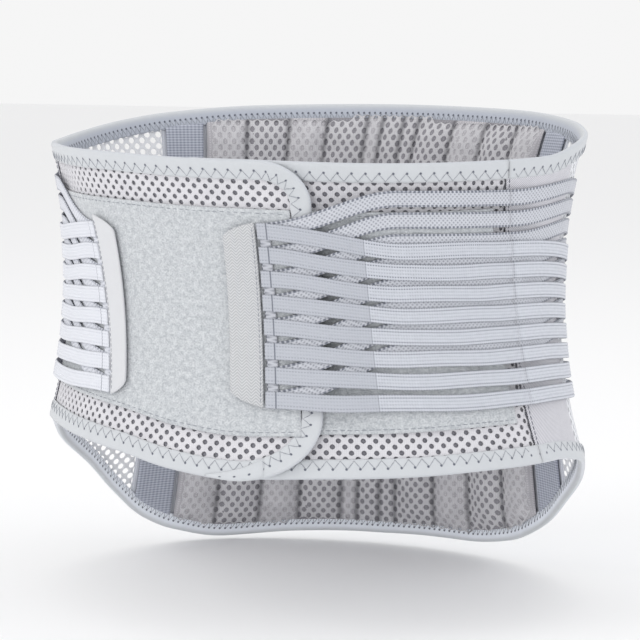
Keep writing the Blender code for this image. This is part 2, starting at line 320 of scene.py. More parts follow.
class Dye:
    """One material, mixed from patterns on a piece's own flat cloth coordinates."""

    def __init__(self, name: str, roughness: float, sheen: float = 0.0) -> None:
        """Start a material.

        Args:
            name: the material's name.
            roughness: roughness of the finished surface.
            sheen: weight of the soft fibre sheen.
        """
        self.material = bpy.data.materials.new(name)
        self.material.use_nodes = True
        self.nodes = self.material.node_tree.nodes
        self.links = self.material.node_tree.links
        self.shader = self.nodes["Principled BSDF"]
        self.shader.inputs["Roughness"].default_value = roughness
        self.shader.inputs["Sheen Weight"].default_value = sheen
        self.shader.inputs["Sheen Roughness"].default_value = 0.45
        self.shader.inputs["Specular IOR Level"].default_value = 0.3
        flat = self.nodes.new("ShaderNodeUVMap")
        flat.uv_map = "flat"
        self.flat = flat.outputs["UV"]
        split = self.nodes.new("ShaderNodeSeparateXYZ")
        self.links.new(self.flat, split.inputs[0])
        self.u, self.v = split.outputs["X"], split.outputs["Y"]

    def math(self, operation: str, a: object, b: object = 0.0) -> bpy.types.NodeSocket:
        """One arithmetic step.

        Args:
            operation: the Math node's operation.
            a: first socket or number.
            b: second socket or number.

        Returns:
            The result's socket.
        """
        node = self.nodes.new("ShaderNodeMath")
        node.operation = operation
        for socket, value in zip(node.inputs, (a, b)):
            if isinstance(value, bpy.types.NodeSocket):
                self.links.new(value, socket)
            else:
                socket.default_value = value
        return node.outputs[0]

    def wave(self, value: object, pitch: float, phase: float = 0.0) -> bpy.types.NodeSocket:
        """A wave from 0 to 1 with its pitch in millimetres.

        Args:
            value: socket holding a distance in metres.
            pitch: length of one wave in millimetres.
            phase: start of the wave, in turns.

        Returns:
            The wave's socket.
        """
        turned = self.math("MULTIPLY_ADD", value, math.tau / (pitch * MM))
        turned.node.inputs[2].default_value = phase * math.tau
        half = self.math("MULTIPLY_ADD", self.math("SINE", turned), 0.5)
        half.node.inputs[2].default_value = 0.5
        return half

    def step(self, value: object, edge: float, width: float) -> bpy.types.NodeSocket:
        """A smooth step from 0 to 1.

        Args:
            value: socket to compare.
            edge: middle of the step.
            width: how wide the step is.

        Returns:
            The step's socket.
        """
        node = self.nodes.new("ShaderNodeMapRange")
        node.interpolation_type = "SMOOTHSTEP"
        self.links.new(value, node.inputs["Value"])
        node.inputs["From Min"].default_value = edge - width / 2
        node.inputs["From Max"].default_value = edge + width / 2
        return node.outputs["Result"]

    def mottle(self, size: float, detail: float = 3.0) -> bpy.types.NodeSocket:
        """Soft random variation.

        Args:
            size: size of one patch in millimetres.
            detail: octaves of finer patches.

        Returns:
            A socket from about 0.3 to 0.7.
        """
        node = self.nodes.new("ShaderNodeTexNoise")
        node.inputs["Scale"].default_value = 1.0 / (size * MM)
        node.inputs["Detail"].default_value = detail
        self.links.new(self.flat, node.inputs["Vector"])
        return node.outputs["Fac"]

    def mix(self, factor: object, low: object, high: object) -> bpy.types.NodeSocket:
        """A colour between two.

        Args:
            factor: socket or number, 0 for low and 1 for high.
            low: first colour or socket.
            high: second colour or socket.

        Returns:
            The mixed colour's socket.
        """
        node = self.nodes.new("ShaderNodeMix")
        node.data_type = "RGBA"
        for socket, value in zip((node.inputs[0], node.inputs[6], node.inputs[7]), (factor, low, high)):
            if isinstance(value, bpy.types.NodeSocket):
                self.links.new(value, socket)
            elif isinstance(value, tuple):
                socket.default_value = (*value, 1.0)
            else:
                socket.default_value = value
        return node.outputs[2]

    def done(self, colour: object, height: object, depth: float, strength: float = 0.6) -> bpy.types.Material:
        """Connect colour and bump.

        Args:
            colour: colour socket.
            height: relief socket from 0 to 1.
            depth: depth of the relief in millimetres.
            strength: strength of the bump.

        Returns:
            The finished material.
        """
        self.links.new(colour, self.shader.inputs["Base Color"])
        bump = self.nodes.new("ShaderNodeBump")
        bump.inputs["Strength"].default_value = strength
        bump.inputs["Distance"].default_value = depth * MM
        self.links.new(height, bump.inputs["Height"])
        self.links.new(bump.outputs["Normal"], self.shader.inputs["Normal"])
        return self.material


@dataclass(frozen=True)
class Knit:
    """Knitted cloth: staggered loops in courses, with painted shade towards listed seams."""

    name: str
    light: Colour
    dark: Colour
    wale: float = 0.9
    course: float = 0.8
    depth: float = 0.12
    # runs of the seams that get painted shade, and its width and strength
    shaded_seams: tuple[float, ...] = ()
    crease: float = 1.3
    crease_depth: float = 0.62
    roughness: float = 0.85
    sheen: float = 0.25

    def make(self) -> bpy.types.Material:
        """The knit's material.

        Returns:
            The finished material.
        """
        dye = Dye(self.name, self.roughness, self.sheen)
        across = dye.wave(dye.u, self.wale)
        lean = dye.math("MULTIPLY_ADD", across, self.course * MM * 0.5)
        dye.links.new(dye.v, lean.node.inputs[2])
        loops = dye.math("MULTIPLY", dye.wave(lean, self.course), across)
        cloudy = dye.math("MULTIPLY", dye.mottle(9.0), 0.7)
        patches = dye.math("ADD", cloudy, dye.math("MULTIPLY", loops, 0.5))
        colour = dye.mix(patches, self.dark, self.light)
        # painted shade: the cloth darkens towards each seam, where the quilted channels dip
        if self.shaded_seams:
            near = dye.math("ADD", 1.0, 0.0)
            for run in self.shaded_seams:
                near = dye.math("MINIMUM", near, dye.math("ABSOLUTE", dye.math("SUBTRACT", dye.u, run * MM)))
            seam_shade = dye.math("SUBTRACT", 1.0, dye.step(near, self.crease * MM, 2.0 * self.crease * MM))
            colour = dye.mix(dye.math("MULTIPLY", seam_shade, self.crease_depth), colour, tint(70, 70, 76))
        return dye.done(colour, loops, self.depth)


@dataclass(frozen=True)
class Pile:
    """Short looped pile that hook tape grips."""

    name: str
    light: Colour
    dark: Colour
    roughness: float = 0.95

    def make(self) -> bpy.types.Material:
        """The pile's material.

        Returns:
            The finished material.
        """
        dye = Dye(self.name, self.roughness, 0.6)
        fine = dye.mottle(0.9, 4.0)
        clumps = dye.mottle(2.6, 5.0)
        spread = dye.math("MULTIPLY_ADD", dye.math("ADD", dye.math("MULTIPLY", fine, 1.2), clumps), 1.9)
        spread.node.inputs[2].default_value = -1.59
        spread.node.use_clamp = True
        relief = dye.math("ADD", dye.math("MULTIPLY", fine, 0.8), dye.math("MULTIPLY", clumps, 0.9))
        return dye.done(dye.mix(spread, self.dark, self.light), relief, 0.9, 0.7)


@dataclass(frozen=True)
class Elastic:
    """Ribbed elastic webbing, with rows of small needle dips beyond its plain end, and painted shade on its
    plain run and in the groove by the fold.
    """

    name: str
    light: Colour
    dark: Colour
    plain: float = 0.0
    # fold: millimetres from the fold to the painted groove shade
    fold: float = 4.3
    # how much painted shade darkens the plain run
    plain_shade: float = 0.0
    mark: float = -20.0
    rib: float = 1.64
    pick: float = 1.25

    def make(self) -> bpy.types.Material:
        """The elastic's material: u runs from the fold, v from the strap's centre.

        Returns:
            The finished material.
        """
        dye = Dye(self.name, 0.62, 0.2)
        ridge = dye.wave(dye.v, self.rib, 0.25)
        groove = dye.math("SUBTRACT", 1.0, ridge)
        picks = dye.wave(dye.u, self.pick)
        hem = dye.math("MULTIPLY_ADD", dye.step(dye.math("ABSOLUTE", dye.v), 2.3 * MM, 0.4 * MM), 0.9)
        hem.node.inputs[2].default_value = 0.45
        dots = dye.math("MULTIPLY", dye.math("MULTIPLY", dye.math("POWER", groove, 2.0), picks), hem)
        knitted = dye.step(dye.u, self.plain * MM, 0.5 * MM)
        amount = dye.math("MULTIPLY_ADD", knitted, 0.6)
        amount.node.inputs[2].default_value = 0.3
        shade = dye.math("MULTIPLY", dots, amount)
        grain = dye.math("MULTIPLY", dye.mottle(2.2, 2.0), 0.28)
        shade = dye.math("ADD", shade, dye.math("MULTIPLY", grain, amount))
        # painted shade: the plain run near the fold is darkened
        shade = dye.math("ADD", shade, dye.math("MULTIPLY", dye.math("SUBTRACT", 1.0, knitted), self.plain_shade))
        # painted shade: a thin dark line in the groove where the raised block at the fold ends
        fold_groove_shade = dye.math("SUBTRACT", 1.0, dye.step(dye.math("ABSOLUTE", dye.math(
            "SUBTRACT", dye.u, self.fold * MM)), 0.32 * MM, 0.25 * MM))
        edge = dye.math("SUBTRACT", 1.0, dye.step(dye.math("ABSOLUTE", dye.math(
            "SUBTRACT", dye.u, self.mark * MM)), 0.2 * MM, 0.3 * MM))
        shade = dye.math("MAXIMUM", shade, dye.math("MAXIMUM", fold_groove_shade, dye.math("MULTIPLY", edge, 0.75)))
        shade.node.use_clamp = True
        relief = dye.math("ADD", dye.math("MULTIPLY", ridge, 0.6), dye.math("MULTIPLY", picks, 0.35))
        return dye.done(dye.mix(shade, self.light, self.dark), relief, 0.14)


@dataclass(frozen=True)
class Braid:
    """Hatched elastic with picot edges, as on the lower runs of the straps."""

    name: str
    light: Colour
    dark: Colour
    half: float = 4.1
    hatch: float = 2.2

    def make(self) -> bpy.types.Material:
        """The braid's material: v runs from the strap's centre.

        Returns:
            The finished material.
        """
        dye = Dye(self.name, 0.7, 0.2)
        one = dye.wave(dye.math("ADD", dye.u, dye.v), self.hatch)
        other = dye.wave(dye.math("SUBTRACT", dye.u, dye.v), self.hatch)
        hatch = dye.math("MULTIPLY", one, other)
        edge = dye.step(dye.math("ABSOLUTE", dye.v), (self.half - 1.2) * MM, 0.3 * MM)
        picot = dye.math("MULTIPLY", edge, dye.wave(dye.u, 2.1))
        shade = dye.math("ADD", dye.math("MULTIPLY", hatch, 0.65), dye.math("MULTIPLY", picot, 0.9))
        shade = dye.math("ADD", shade, dye.math("MULTIPLY", dye.mottle(3.0), 0.25))
        shade.node.use_clamp = True
        return dye.done(dye.mix(shade, self.light, self.dark), hatch, 0.18)


class Slant(enum.Enum):
    """How the ribs of a woven tape run."""

    TWILL = "twill"
    HERRINGBONE = "herringbone"
    STRAIGHT = "straight"


@dataclass(frozen=True)
class Woven:
    """Woven tape with fine ribs."""

    name: str
    light: Colour
    dark: Colour
    slant: Slant
    pitch: float = 1.3
    turn: float = 4.4
    depth: float = 0.16
    contrast: float = 0.8

    def make(self) -> bpy.types.Material:
        """The tape's material.

        Returns:
            The finished material.
        """
        dye = Dye(self.name, 0.7, 0.25)
        if self.slant is Slant.STRAIGHT:
            ribs = dye.wave(dye.v, self.pitch)
            brick = dye.math("MULTIPLY", dye.wave(dye.u, self.pitch * 1.4), 0.45)
            height = dye.math("ADD", dye.math("MULTIPLY", ribs, 0.7), brick)
        else:
            lead = dye.u
            if self.slant is Slant.HERRINGBONE:
                lead = dye.math("PINGPONG", dye.u, self.turn * MM / 2)
            height = dye.wave(dye.math("ADD", lead, dye.v), self.pitch)
        shade = dye.math("MULTIPLY", dye.math("SUBTRACT", 1.0, height), self.contrast)
        shade = dye.math("ADD", shade, dye.math("MULTIPLY", dye.mottle(4.0), 0.2))
        shade.node.use_clamp = True
        return dye.done(dye.mix(shade, self.light, self.dark), height, self.depth)


@dataclass(frozen=True)
class Piping:
    """Soft knitted edge binding with needle holes along its zigzag, and an inner face colour that carries
    painted shade on one binding and painted light on another.
    """

    name: str
    light: Colour
    inner: Colour
    dark: Colour
    hole_line: float = 4.1

    def make(self) -> bpy.types.Material:
        """The binding's material: u runs along the edge, v from the edge inwards.

        Returns:
            The finished material.
        """
        dye = Dye(self.name, 0.8, 0.35)
        ribs = dye.wave(dye.u, 0.7)
        depth = dye.math("ABSOLUTE", dye.v)
        within = dye.step(dye.v, 0.0, 0.4 * MM)
        wide = dye.math("PINGPONG", dye.u, 6.7 * MM / 2)
        tight = dye.math("PINGPONG", dye.u, 3.4 * MM / 2)
        near = dye.math("ADD", dye.math("MULTIPLY", wide, within),
                        dye.math("MULTIPLY", tight, dye.math("SUBTRACT", 1.0, within)))
        off = dye.math("SUBTRACT", depth, self.hole_line * MM)
        squares = dye.math("ADD", dye.math("MULTIPLY", near, near), dye.math("MULTIPLY", off, off))
        reach = dye.math("SQRT", squares)
        hole = dye.math("SUBTRACT", 1.0, dye.step(reach, 0.62 * MM, 0.5 * MM))
        body = dye.math("ADD", dye.math("MULTIPLY", dye.mottle(5.0), 0.45), dye.math("MULTIPLY", ribs, 0.12))
        # the inner face gets its own colour: on the top binding a blue-grey, partly its own colour and partly
        # painted shade; on the bottom binding a much lighter one, painted light
        turned = dye.step(dye.v, -1.2 * MM, 3.4 * MM)
        face = dye.mix(turned, self.inner, self.light)
        cloth = dye.mix(body, face, dye.mix(0.14, face, (0.0, 0.0, 0.0)))
        relief = dye.math("SUBTRACT", dye.math("MULTIPLY", ribs, 0.25), hole)
        return dye.done(dye.mix(hole, cloth, self.dark), relief, 0.3)


@dataclass(frozen=True)
class Strand:
    """Twisted sewing thread or a moulded piece: a plain colour with fine ridges."""

    name: str
    light: Colour
    dark: Colour
    roughness: float = 0.55
    pitch: float = 0.9

    def make(self) -> bpy.types.Material:
        """The strand's material.

        Returns:
            The finished material.
        """
        dye = Dye(self.name, self.roughness, 0.1)
        twist = dye.wave(dye.math("ADD", dye.u, dye.v), self.pitch)
        return dye.done(dye.mix(dye.math("MULTIPLY", twist, 0.5), self.light, self.dark), twist, 0.06)


@dataclass(frozen=True)
class Moulded:
    """A moulded plastic piece: nearly plain, with a faint flow in its colour."""

    name: str
    light: Colour
    dark: Colour
    roughness: float = 0.35

    def make(self) -> bpy.types.Material:
        """The plastic's material.

        Returns:
            The finished material.
        """
        dye = Dye(self.name, self.roughness)
        dye.flat = dye.nodes.new("ShaderNodeTexCoord").outputs["Object"]
        flow = dye.mottle(6.0)
        return dye.done(dye.mix(flow, self.light, self.dark), flow, 0.03)


@dataclass(frozen=True)
class Hooked:
    """Moulded hook tape: small stubs in straight rows."""

    name: str
    light: Colour
    dark: Colour
    pitch: float = 1.6

    def make(self) -> bpy.types.Material:
        """The hook tape's material.

        Returns:
            The finished material.
        """
        dye = Dye(self.name, 0.4)
        stubs = dye.math("MULTIPLY", dye.wave(dye.u, self.pitch), dye.wave(dye.v, self.pitch))
        stubs = dye.math("POWER", stubs, 2.0)
        return dye.done(dye.mix(stubs, self.dark, self.light), stubs, 0.5)


CHANNELS = (-46.0, -35.7, -25.3, -16.0, -6.4, -2.6, 2.6, 6.4, 16.0, 25.3, 35.7, 46.0)


class Finishes:
    """Every finish of the belt, made once."""

    def __init__(self) -> None:
        """Mix all the materials."""
        sewn = tuple(FORM.run(angle) for angle in CHANNELS[1:-1])
        dot = tint(118, 122, 132)
        self.wing_net = Knit("wing_net", tint(222, 221, 224), tint(192, 191, 197)).make()
        self.side_net = Knit("side_net", tint(238, 239, 242), tint(216, 218, 223)).make()
        # the lining's net and pads get painted shade along their sewn seams
        self.lining_net = Knit("lining_net", tint(216, 215, 218), tint(172, 171, 176), shaded_seams=sewn).make()
        self.lining_pad = Knit("lining_pad", tint(156, 154, 160), tint(116, 115, 121),
                               1.6, 1.4, shaded_seams=sewn).make()
        self.filled_pad = Knit("filled_pad", tint(202, 200, 204), tint(148, 146, 152),
                               1.6, 1.4, shaded_seams=sewn).make()
        self.wing_backing = Knit("wing_backing", tint(138, 138, 145), tint(108, 108, 115), 1.1, 1.0).make()
        self.back_cloth = Knit("back_cloth", tint(222, 224, 230), tint(186, 190, 200), 1.2, 1.0).make()
        self.pile = Pile("loop_pile", tint(205, 208, 211), tint(168, 172, 177)).make()
        face = tint(199, 202, 206)
        # the inner face of this binding is blue-grey: partly its own colour, partly painted shade
        self.piping = Piping("edge_piping", face, tint(184, 189, 200), tint(96, 100, 112)).make()
        # the bottom binding's copy, with a much lighter inner face: painted light against the shade it sits
        # in
        self.lit_low_piping = Piping("lit_low_piping", face, tint(238, 242, 250), tint(110, 114, 126)).make()
        # right straps: painted shade 0.3 on the plain run, painted groove shade 4.3 mm from the fold
        self.right_elastic = Elastic("right_elastic", tint(201, 204, 212), dot, 46.5, 4.3, 0.3, 46.5).make()
        self.left_elastic = Elastic("left_elastic", tint(216, 218, 225), tint(140, 144, 154), 90.0).make()
        self.rear_elastic = Elastic("rear_elastic", tint(206, 209, 217), dot, -10.0, -50.0).make()
        self.under_braid = Braid("under_braid", tint(204, 206, 213), tint(112, 116, 127)).make()
        self.left_braid = Braid("left_braid", tint(220, 222, 229), tint(160, 163, 173)).make()
        self.outer_twill = Woven("outer_twill", tint(222, 221, 226), tint(158, 158, 166), Slant.TWILL).make()
        self.inner_weave = Woven("inner_weave", tint(190, 194, 206), tint(118, 123, 138),
                                 Slant.STRAIGHT, 1.5).make()
        self.herringbone = Woven("herringbone", tint(204, 205, 207), tint(160, 162, 166),
                                 Slant.HERRINGBONE, 1.5, 4.4, 0.16, 0.7).make()
        self.satin = Woven("satin_tape", tint(210, 211, 214), tint(188, 189, 193),
                           Slant.TWILL, 0.9, 4.0, 0.06, 0.4).make()
        self.seam_tape = Woven("seam_tape", tint(206, 207, 213), tint(160, 162, 170),
                               Slant.STRAIGHT, 1.1).make()
        self.thread = Strand("grey_thread", tint(156, 160, 168), tint(112, 116, 126)).make()
        self.dark_thread = Strand("dark_thread", tint(112, 116, 126), tint(70, 73, 82)).make()
        self.hooks = Hooked("hook_tape", tint(238, 238, 240), tint(196, 197, 201)).make()
        self.stay = Moulded("stay_plastic", tint(236, 236, 234), tint(220, 220, 218)).make()


@dataclass(frozen=True)
class Hold:
    """Which body a piece follows, with the measures of a bend at a side seam where it crosses one; the bend
    is not made.
    """

    body: str
    onward: str | None = None
    side: Side = Side.RIGHT
    start: float = 0.0
    reach: float = 17.0
    hinge_out: float = 7.6
    hinge_half: float = 60.0

    def apply(self, piece: bpy.types.Object) -> None:
        """Make a piece follow its body; one held between two bodies only has its placement baked into its
        mesh.

        Args:
            piece: the finished piece.
        """
        if self.onward is None:
            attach(piece, self.body)
            return
        far = self.hinge_half
        foot = FORM.place(self.side * SEAMS.at(0.0), 0.0, self.hinge_out)
        head = FORM.place(self.side * SEAMS.at(far), far, self.hinge_out)
        deep = FORM.place(self.side * SEAMS.at(-far), -far, self.hinge_out)
        ahead = FORM.place(self.side * (SEAMS.angle + 3.0), 0.0, self.hinge_out) - foot
        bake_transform(piece)


class Tailor:
    """Makes meshes from flat patterns, wraps them onto the form and hangs them on the frame."""

    def __init__(self, form: Form, finishes: Finishes) -> None:
        """Take up a form and the finishes.

        Args:
            form: the form that cloth is wrapped onto.
            finishes: the belt's materials.
        """
        self.form = form
        self.finishes = finishes

    @staticmethod
    def grid(columns: int, rows: int) -> bmesh.types.BMesh:
        """Flat grid whose corners sit on whole numbers.

        Args:
            columns: cells along X.
            rows: cells along Y.

        Returns:
            The grid's mesh, with a flat coordinate layer.
        """
        bm = bmesh.new()
        bm.loops.layers.uv.new("flat")
        bmesh.ops.create_grid(bm, x_segments=columns, y_segments=rows, size=0.5)
        for vert in bm.verts:
            vert.co.x = round((vert.co.x + 0.5) * columns)
            vert.co.y = round((vert.co.y + 0.5) * rows)
            vert.co.z = 0.0
        return bm

    @staticmethod
    def double(bm: bmesh.types.BMesh) -> None:
        """Add the second side of a flat grid, one unit above the first, and the rim between them.

        Args:
            bm: the grid's mesh.
        """
        grown = bmesh.ops.extrude_face_region(bm, geom=bm.faces[:], use_keep_orig=True)
        for item in grown["geom"]:
            if isinstance(item, bmesh.types.BMVert):
                item.co.z = 1.0

    @staticmethod
    def order(bm: bmesh.types.BMesh) -> None:
        """Put edges and faces in an order of their own, so that a simulation repeats exactly.

        Args:
            bm: the mesh, whose corners are already in order.
        """
        bm.verts.index_update()
        count = len(bm.verts)

        def place(item: bmesh.types.BMEdge | bmesh.types.BMFace) -> float:
            """Sort key from the first and the last corner.

            Args:
                item: an edge or a face.

            Returns:
                A number that no other edge or face has.
            """
            numbers = [vert.index for vert in item.verts]
            return float(min(numbers) * count + max(numbers))

        for items in (bm.edges, bm.faces):
            items.sort(key=place)
            items.index_update()

    def wrap(self, bm: bmesh.types.BMesh, spot: Callable[[Vector], Spot],
             flat: Callable[[Vector], tuple[float, float]] | None = None) -> bmesh.types.BMesh:
        """Wrap a flat pattern onto the form.

        Args:
            bm: the pattern's mesh.
            spot: gives (angle, height, out) for a corner of the pattern.
            flat: gives a corner's flat cloth coordinates in millimetres, else run and height.

        Returns:
            The same mesh, wrapped.
        """
        layer = bm.loops.layers.uv.active
        for vert in bm.verts:
            angle, height, out = spot(vert.co)
            u, v = flat(vert.co) if flat else (self.form.run(angle), height)
            for loop in vert.link_loops:
                loop[layer].uv = (u * MM, v * MM)
            vert.co = self.form.place(angle, height, out)
        return bm

    def rolled(self, stations: int, around: int, spot: Callable[[int, int], Spot],
               flat: Callable[[int, int], tuple[float, float]]) -> bmesh.types.BMesh:
        """A closed bar: a grid rolled up until its first and last rows meet, with filled ends.

        Args:
            stations: cells along the bar.
            around: cells round its section.
            spot: gives (angle, height, out) at a station and a section point.
            flat: gives flat cloth coordinates there, in millimetres.

        Returns:
            The bar's mesh.
        """
        bm = self.grid(stations, around)
        self.wrap(
            bm,
            lambda co: spot(round(co.x), round(co.y) % around),
            lambda co: flat(round(co.x), round(co.y)),
        )
        bmesh.ops.remove_doubles(bm, verts=bm.verts[:], dist=2e-6)
        bmesh.ops.holes_fill(bm, edges=[e for e in bm.edges if e.is_boundary], sides=0)
        return bm

    def strand(self, points: Sequence[Spot], radius: float, sides: int = 5) -> bmesh.types.BMesh:
        """A round strand laid through places on the form.

        Args:
            points: (angle, height, out) of each place.
            radius: the strand's radius in millimetres.
            sides: corners of its section.

        Returns:
            The strand's mesh.
        """
        centres = [self.form.place(*p) for p in points]
        lengths = np.concatenate([[0.0], np.cumsum([(b - a).length for a, b in zip(centres, centres[1:])])])
        bm = self.grid(len(points) - 1, sides)
        layer = bm.loops.layers.uv.active
        for vert in bm.verts:
            i, j = round(vert.co.x), round(vert.co.y)
            ahead = centres[min(i + 1, len(centres) - 1)] - centres[max(i - 1, 0)]
            angle, height, out = points[i]
            normal = (self.form.place(angle, height, out + 1.0) - centres[i]).normalized()
            side = ahead.normalized().cross(normal).normalized()
            turn = math.tau * j / sides
            for loop in vert.link_loops:
                loop[layer].uv = (lengths[i], radius * MM * turn)
            vert.co = centres[i] + (normal * math.cos(turn) + side * math.sin(turn)) * radius * MM
        bmesh.ops.remove_doubles(bm, verts=bm.verts[:], dist=2e-6)
        bmesh.ops.holes_fill(bm, edges=[e for e in bm.edges if e.is_boundary], sides=0)
        return bm

    @staticmethod
    def merged(parts: Sequence[bmesh.types.BMesh]) -> bmesh.types.BMesh:
        """Several meshes as one.

        Args:
            parts: the meshes, used up by this.

        Returns:
            The joined mesh.
        """
        bm = bmesh.new()
        for part in parts:
            mesh = bpy.data.meshes.new("part")
            part.to_mesh(mesh)
            part.free()
            bm.from_mesh(mesh)
            bpy.data.meshes.remove(mesh)
        return bm

    def sheet(self, angles: Sequence[float], low: Callable[[float], float], high: Callable[[float], float],
              row: float, levels: Callable[[float, float], tuple[float, float]],
              shift: Callable[[float, float], float] | None = None, rim: float = 0.7) -> bmesh.types.BMesh:
        """A cloth panel with rounded edges.

        Args:
            angles: column angles from one end to the other.
            low: height of the panel's low edge by angle.
            high: height of its high edge by angle.
            row: tallest row in millimetres.
            levels: (inner, outer) distances out by angle and height.
            shift: gives a column's leaned angle.
            rim: width of the rounded rim in millimetres.

        Returns:
            The panel's closed mesh.
        """
        tallest = max(high(a) - low(a) for a in angles)
        rows = rim_steps(0.0, 1.0, row / tallest, rim / tallest)
        bm = self.grid(len(angles) - 1, len(rows) - 1)
        self.double(bm)

        def spot(co: Vector) -> Spot:
            """Place of one corner of the panel.

            Args:
                co: its column, row and side in the flat grid.

            Returns:
                (angle, height, out).
            """
            i, j = round(co.x), round(co.y)
            angle = angles[i]
            height = low(angle) + (high(angle) - low(angle)) * rows[j]
            inner, outer = levels(angle, height)
            if i in (0, len(angles) - 1) or j in (0, len(rows) - 1):
                inner, outer = inner + (outer - inner) * 0.3, outer - (outer - inner) * 0.3
            if shift:
                angle = shift(angle, height)
            return angle, height, outer if co.z > 0.5 else inner

        return self.wrap(bm, spot)

    def net(self, runs: tuple[float, float], heights: tuple[float, float],
            inside: Callable[[float, float], bool], spot: Callable[[float, float], Spot],
            pitch: float = 4.07, bar: float = 0.66, stretch: float = 1.0) -> bmesh.types.BMesh:
        """Perforated cloth: a diagonal lattice of cells, each with its middle cut out.

        Args:
            runs: first and last millimetre round the belt.
            heights: lowest and highest height.
            inside: tells whether a cell's middle lies on the cloth.
            spot: gives (angle, height, out) for a run and a height.
            pitch: size of a cell in millimetres.
            bar: cloth left round each hole, in millimetres.
            stretch: how much taller than wide a cell is.

        Returns:
            The open net's mesh, with its outer side facing out.
        """
        wide, tall = abs(runs[1] - runs[0]), heights[1] - heights[0]
        middle = Vector(((runs[0] + runs[1]) / 2, (heights[0] + heights[1]) / 2, 0.0))
        count = math.ceil((wide + tall) / math.sqrt(2.0) / pitch / 2.0) * 2
        bm = bmesh.new()
        bm.loops.layers.uv.new("flat")
        turn = Matrix.Translation(middle) @ Matrix.Rotation(math.radians(45.0), 4, "Z")
        bmesh.ops.create_grid(bm, x_segments=count, y_segments=count, size=count * pitch / 2.0, matrix=turn)
        bmesh.ops.scale(bm, vec=(1.0, stretch, 1.0), space=Matrix.Translation(-middle), verts=bm.verts[:])
        spare = [f for f in bm.faces if not inside(*f.calc_center_median().xy)]
        bmesh.ops.delete(bm, geom=spare, context="FACES")
        cells = bm.faces[:]
        bmesh.ops.inset_individual(bm, faces=cells, thickness=bar, use_even_offset=True)
        bmesh.ops.delete(bm, geom=cells, context="FACES_ONLY")
        self.wrap(bm, lambda co: spot(co.x, co.y), lambda co: (co.x, co.y))
        bmesh.ops.reverse_faces(bm, faces=bm.faces[:])
        return bm

    def make(self, name: str, bm: bmesh.types.BMesh, material: bpy.types.Material,
             closed: bool = True) -> bpy.types.Object:
        """A smooth-shaded piece from a mesh.

        Args:
            name: the piece's name.
            bm: its mesh, used up by this.
            material: its finish.
            closed: whether the mesh is a closed body whose faces are turned outwards.

        Returns:
            The new piece.
        """
        if closed:
            bmesh.ops.recalc_face_normals(bm, faces=bm.faces[:])
            if bm.calc_volume(signed=True) < 0:
                bmesh.ops.reverse_faces(bm, faces=bm.faces[:])
        mesh = bpy.data.meshes.new(name)
        bm.to_mesh(mesh)
        bm.free()
        mesh.polygons.foreach_set("use_smooth", [True] * len(mesh.polygons))
        piece = bpy.data.objects.new(name, mesh)
        bpy.context.scene.collection.objects.link(piece)
        mesh.materials.append(material)
        return piece

    @staticmethod
    def settle(piece: bpy.types.Object) -> bpy.types.Object:
        """Bake a piece's modifiers into its mesh.

        Args:
            piece: the piece.

        Returns:
            The same piece.
        """
        graph = bpy.context.evaluated_depsgraph_get()
        mesh = bpy.data.meshes.new_from_object(piece.evaluated_get(graph))
        piece.modifiers.clear()
        old = piece.data
        piece.data = mesh
        bpy.data.meshes.remove(old)
        mesh.name = piece.name
        return piece

    def thicken(self, piece: bpy.types.Object, thick: float) -> bpy.types.Object:
        """Round a net's holes and give its yarn thickness.

        Args:
            piece: a piece made from a net.
            thick: thickness in millimetres, inwards from its outer side.

        Returns:
            The same piece.
        """
        rounder = piece.modifiers.new("Round", "SUBSURF")
        rounder.levels = rounder.render_levels = 1
        wall = piece.modifiers.new("Wall", "SOLIDIFY")
        wall.thickness = thick * MM
        wall.offset = -1.0
        return self.settle(piece)

    def hang(self, piece: bpy.types.Object, hold: Hold, slot: str, *nodes: str) -> bpy.types.Object:
        """Hang a piece on the frame.

        Args:
            piece: the finished piece.
            hold: the bodies that it follows.
            slot: not used.
            nodes: the frame's nodes that it stands for.

        Returns:
            The same piece.
        """
        hold.apply(piece)
        if nodes:
            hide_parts(*nodes)
        log.info("%s: %d faces", piece.name, len(piece.data.polygons))
        return piece

    def cut_area(self, angles: Sequence[float], low: Callable[[float], float],
                 high: Callable[[float], float]) -> tuple[float, float, float]:
        """Size of a flat cut.

        Args:
            angles: column angles.
            low: low edge by angle.
            high: high edge by angle.

        Returns:
            Width round the belt and height in metres, and area in square metres.
        """
        area = 0.0
        for a, b in zip(angles, angles[1:]):
            tall = (high(a) - low(a) + high(b) - low(b)) / 2.0
            area += abs(self.form.run(b) - self.form.run(a)) * tall
        wide = abs(self.form.run(angles[-1]) - self.form.run(angles[0]))
        tall = max(high(a) for a in angles) - min(low(a) for a in angles)
        return wide * MM, tall * MM, area * MM * MM


@dataclass(frozen=True)
class Track:
    """The line of an edge that binding is sewn over.

    Each station is (angle, height, inward angle, inward height), and the inward parts are per
    millimetre in from the edge.
    """

    stations: tuple[tuple[float, float, float, float], ...]
    lean: Callable[[float, float], float]
    out: Callable[[float], float]

    @cached_property
    def lengths(self) -> np.ndarray:
        """Millimetres along the edge to each station."""
        points = [FORM.place(self.lean(a, h), h, self.out(a)) for a, h, _, _ in self.stations]
        return np.concatenate([[0.0], np.cumsum([(b - a).length / MM for a, b in zip(points, points[1:])])])

    @cached_property
    def columns(self) -> tuple[np.ndarray, ...]:
        """The stations' four values, each as one array."""
        return tuple(np.array(c) for c in zip(*self.stations))

    def spot(self, run: float, inward: float, off: float) -> Spot:
        """Place on the edge.

        Args:
            run: millimetres along the edge.
            inward: millimetres in from the edge.
            off: millimetres out from the cloth's inner side.

        Returns:
            The angle, height and distance out.
        """
        angle, height, turn, rise = (float(np.interp(run, self.lengths, c)) for c in self.columns)
        high = height + rise * inward
        leaned = self.lean(angle + turn * inward, high)
        return leaned, high, self.out(leaned) + off


